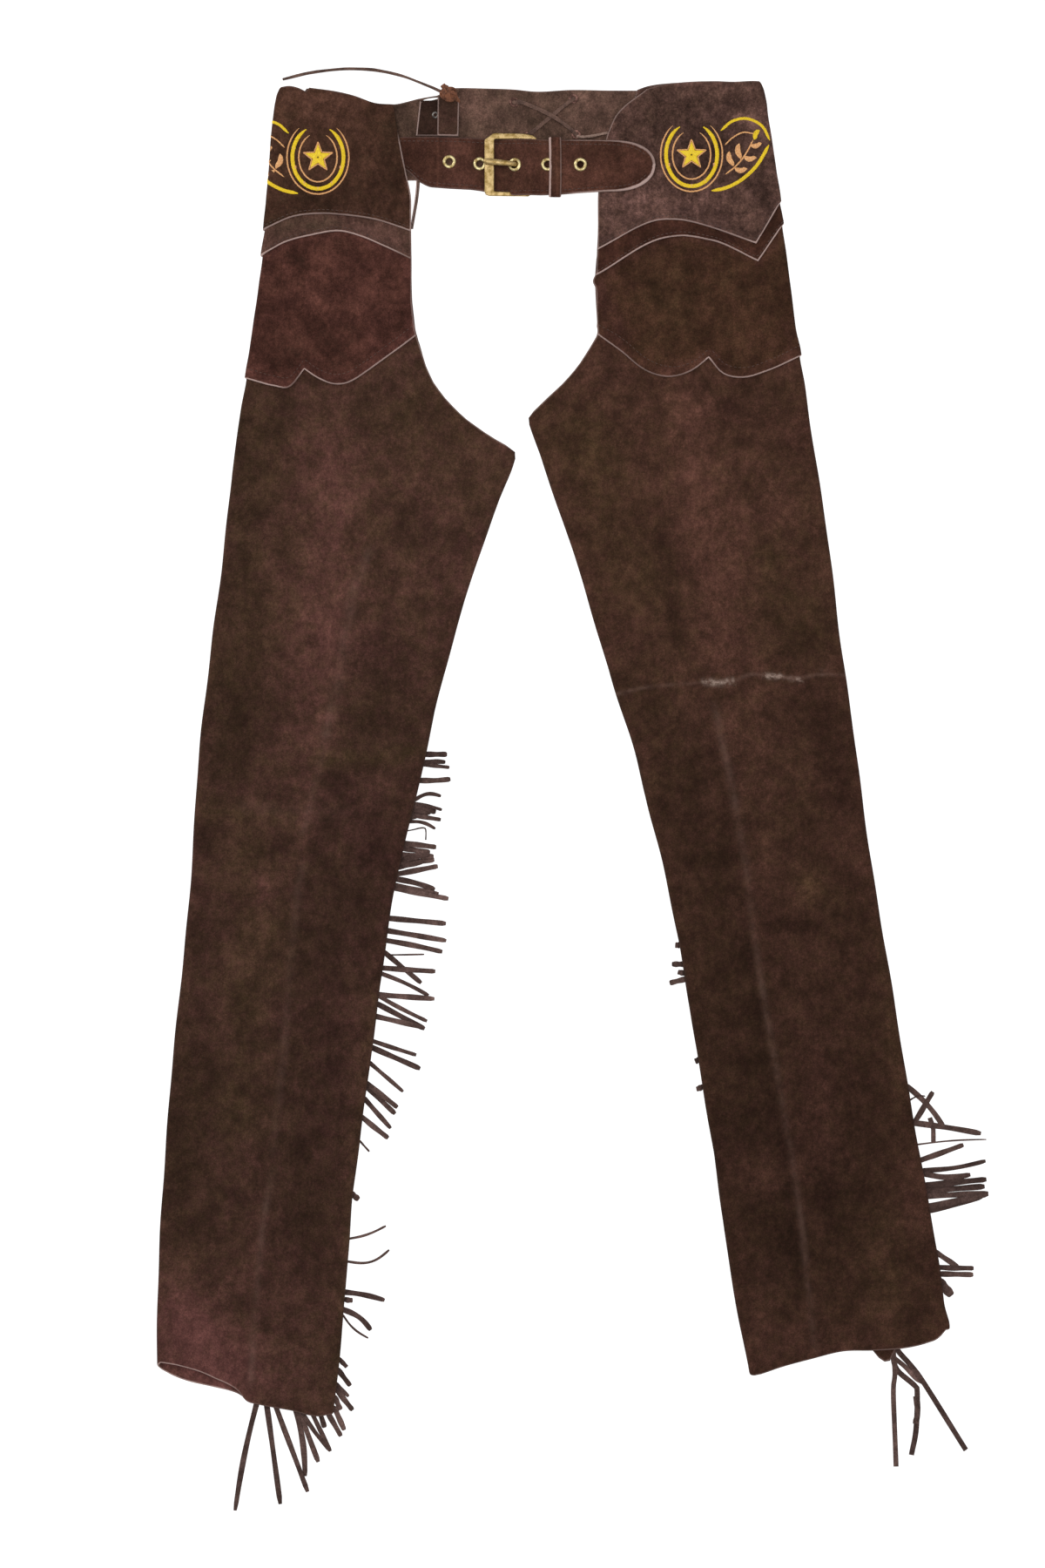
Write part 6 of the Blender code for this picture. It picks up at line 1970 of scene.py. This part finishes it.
def hipPoints(side, flat):
    # places on the hip yoke's outer side, going on round the outer fold where x passes it
    inward = side["towardInner"]
    radius = leather["foldHeight"] / 2
    x, y = flat[:, 0], flat[:, 1]
    foldX, innerX = outlineAt(side, "outer", y) + inward * radius, outlineAt(side, "inner", y)
    over = -inward * (x - foldX)
    onTop = (over <= 0)[:, None]
    angle = np.clip(over / radius, 0, math.pi)
    past = np.maximum(over - math.pi * radius, 0)
    sunk = 1 - np.exp(-np.abs(x - foldX) / leather["foldEase"])
    shares = np.clip((x - foldX) / (innerX - foldX), 0, 1)
    low = np.array([edgeAt(side, "hipEdge", share) for share in shares])
    level = mix(leather["foldHeight"], leather["panelHeight"], sunk) + ripple(x, y)
    front = np.stack([x, y, level + lapStep * lapRamp(y - low)], axis=1)
    foldUps = np.stack([-inward * np.sin(angle), 0 * angle, np.cos(angle)], axis=1)
    fold = np.stack([foldX, y, np.full(len(y), radius)], axis=1) + radius * foldUps
    back = np.stack([foldX + inward * past, y, 0 * y], axis=1)
    points = np.where(onTop, front, np.where((past > 0)[:, None], back, fold))
    return points, np.where(onTop, (0, 0, 1.0), foldUps), past > 0


def motifThreads():
    # thread, and the ends of its stitches on both sides
    for thread, width, points in motif["strokes"]:
        yield thread, *bandThreads(points, evenWidth(width), embroidery["slant"])
    middle = np.array(shoe)
    corners = np.array(starPoints(middle, *motif["star"]))
    for a, b in zip(corners, corners[1:]):
        count = int(np.linalg.norm(b - a) / embroidery["pitch"])
        rim = a + (b - a) * np.linspace(0, 1, count, endpoint=False)[:, None]
        yield gold, rim, middle + (rim - middle) * 0.06
    outline = middle + (corners - middle) * 1.12
    for a, b in zip(outline, outline[1:]):
        yield tan, *bandThreads([a, (a + b) / 2, b], evenWidth(1.1), 0.3)
    for thread, width, start, end, bend in motif["leaves"]:
        start, end = np.array(start, float), np.array(end, float)
        along = end - start
        middle = (start + end) / 2 + unit(np.array((-along[1], along[0]))) * bend
        yield thread, *bandThreads([start, middle, end], leafWidth(width), 0.7)
    for x, y in motif["nails"]:
        rise = np.linspace(-0.9, 0.9, 5)[:, None] * (0, 1.0) + (x, y)
        yield tan, rise - (0.9, 0), rise + (0.9, 0)


def makeEmbroidery(side):
    centre, size, facing = embroidery["places"][side["name"]]
    made = list(motifThreads())
    for thread, material in ((gold, goldThread), (tan, tanThread)):
        ends = []
        for which in (1, 2):
            flat = np.concatenate([row[which] for row in made if row[0] == thread])
            ends.append(hipPoints(side, flat * size * (facing, 1) + centre))
        (starts, ups, hiddenA), (stops, _, hiddenB) = ends
        keep = ~(hiddenA | hiddenB) & (np.minimum(starts[:, 2], stops[:, 2]) > 0.5)
        title = f"{thread}Embroidery{side['name'].title()}"
        width, height = embroidery["threadWidth"], embroidery["height"]
        newPiece(title, threadMesh(title, starts[keep], stops[keep], ups[keep], width, height), material)


for side in sides.values():
    makeEmbroidery(side)
print("embroidery made")


# soft parts: length and width in metres, cut area, what they lie on, and the pieces that go with them
overlayCuts = {
    "hipYoke": (((0.185, 0.115), 0.0195), ((0.255, 0.13), 0.0281)),
    "hipBand": (((0.225, 0.036), 0.0050), ((0.285, 0.036), 0.0056)),
    "thighOverlay": (((0.235, 0.118), 0.0252), ((0.295, 0.11), 0.0288)),
}
sheets = [
    ("legLeftSuede", (0.445, 0.83), 0.262, "paleFloor", ["fringeLeft"]),
    ("legRightSuede", (0.445, 0.83), 0.266, "paleFloor", ["fringeRight"]),
]
for kind, cuts in overlayCuts.items():
    for title, (flat, area) in zip(("Left", "Right"), cuts):
        extras = [f"{kind}{title}Stitches"]
        if kind == "hipYoke":
            extras += ["goldEmbroidery" + title, "tanEmbroidery" + title]
        sheets.append((kind + title, flat, area, f"leg{title}Suede", extras))
sheets += [
    ("backYoke", (0.196, 0.074), 0.0127, "paleFloor", ["yokeTail"]),
    ("sideTab", (0.0304, 0.030), 0.00091, "backYoke", ["tabFlap"]),
    ("beltStrap", (0.203, 0.038), 0.0076, "buckleStrap", ["beltStitches", "beltKeeper"]),
    ("buckleStrap", (0.125, 0.037), 0.0045, "backYoke", []),
]
for name, flat, area, restsOn, extras in sheets:
    extras = [pieces[extra] for extra in extras]
    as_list(extras)
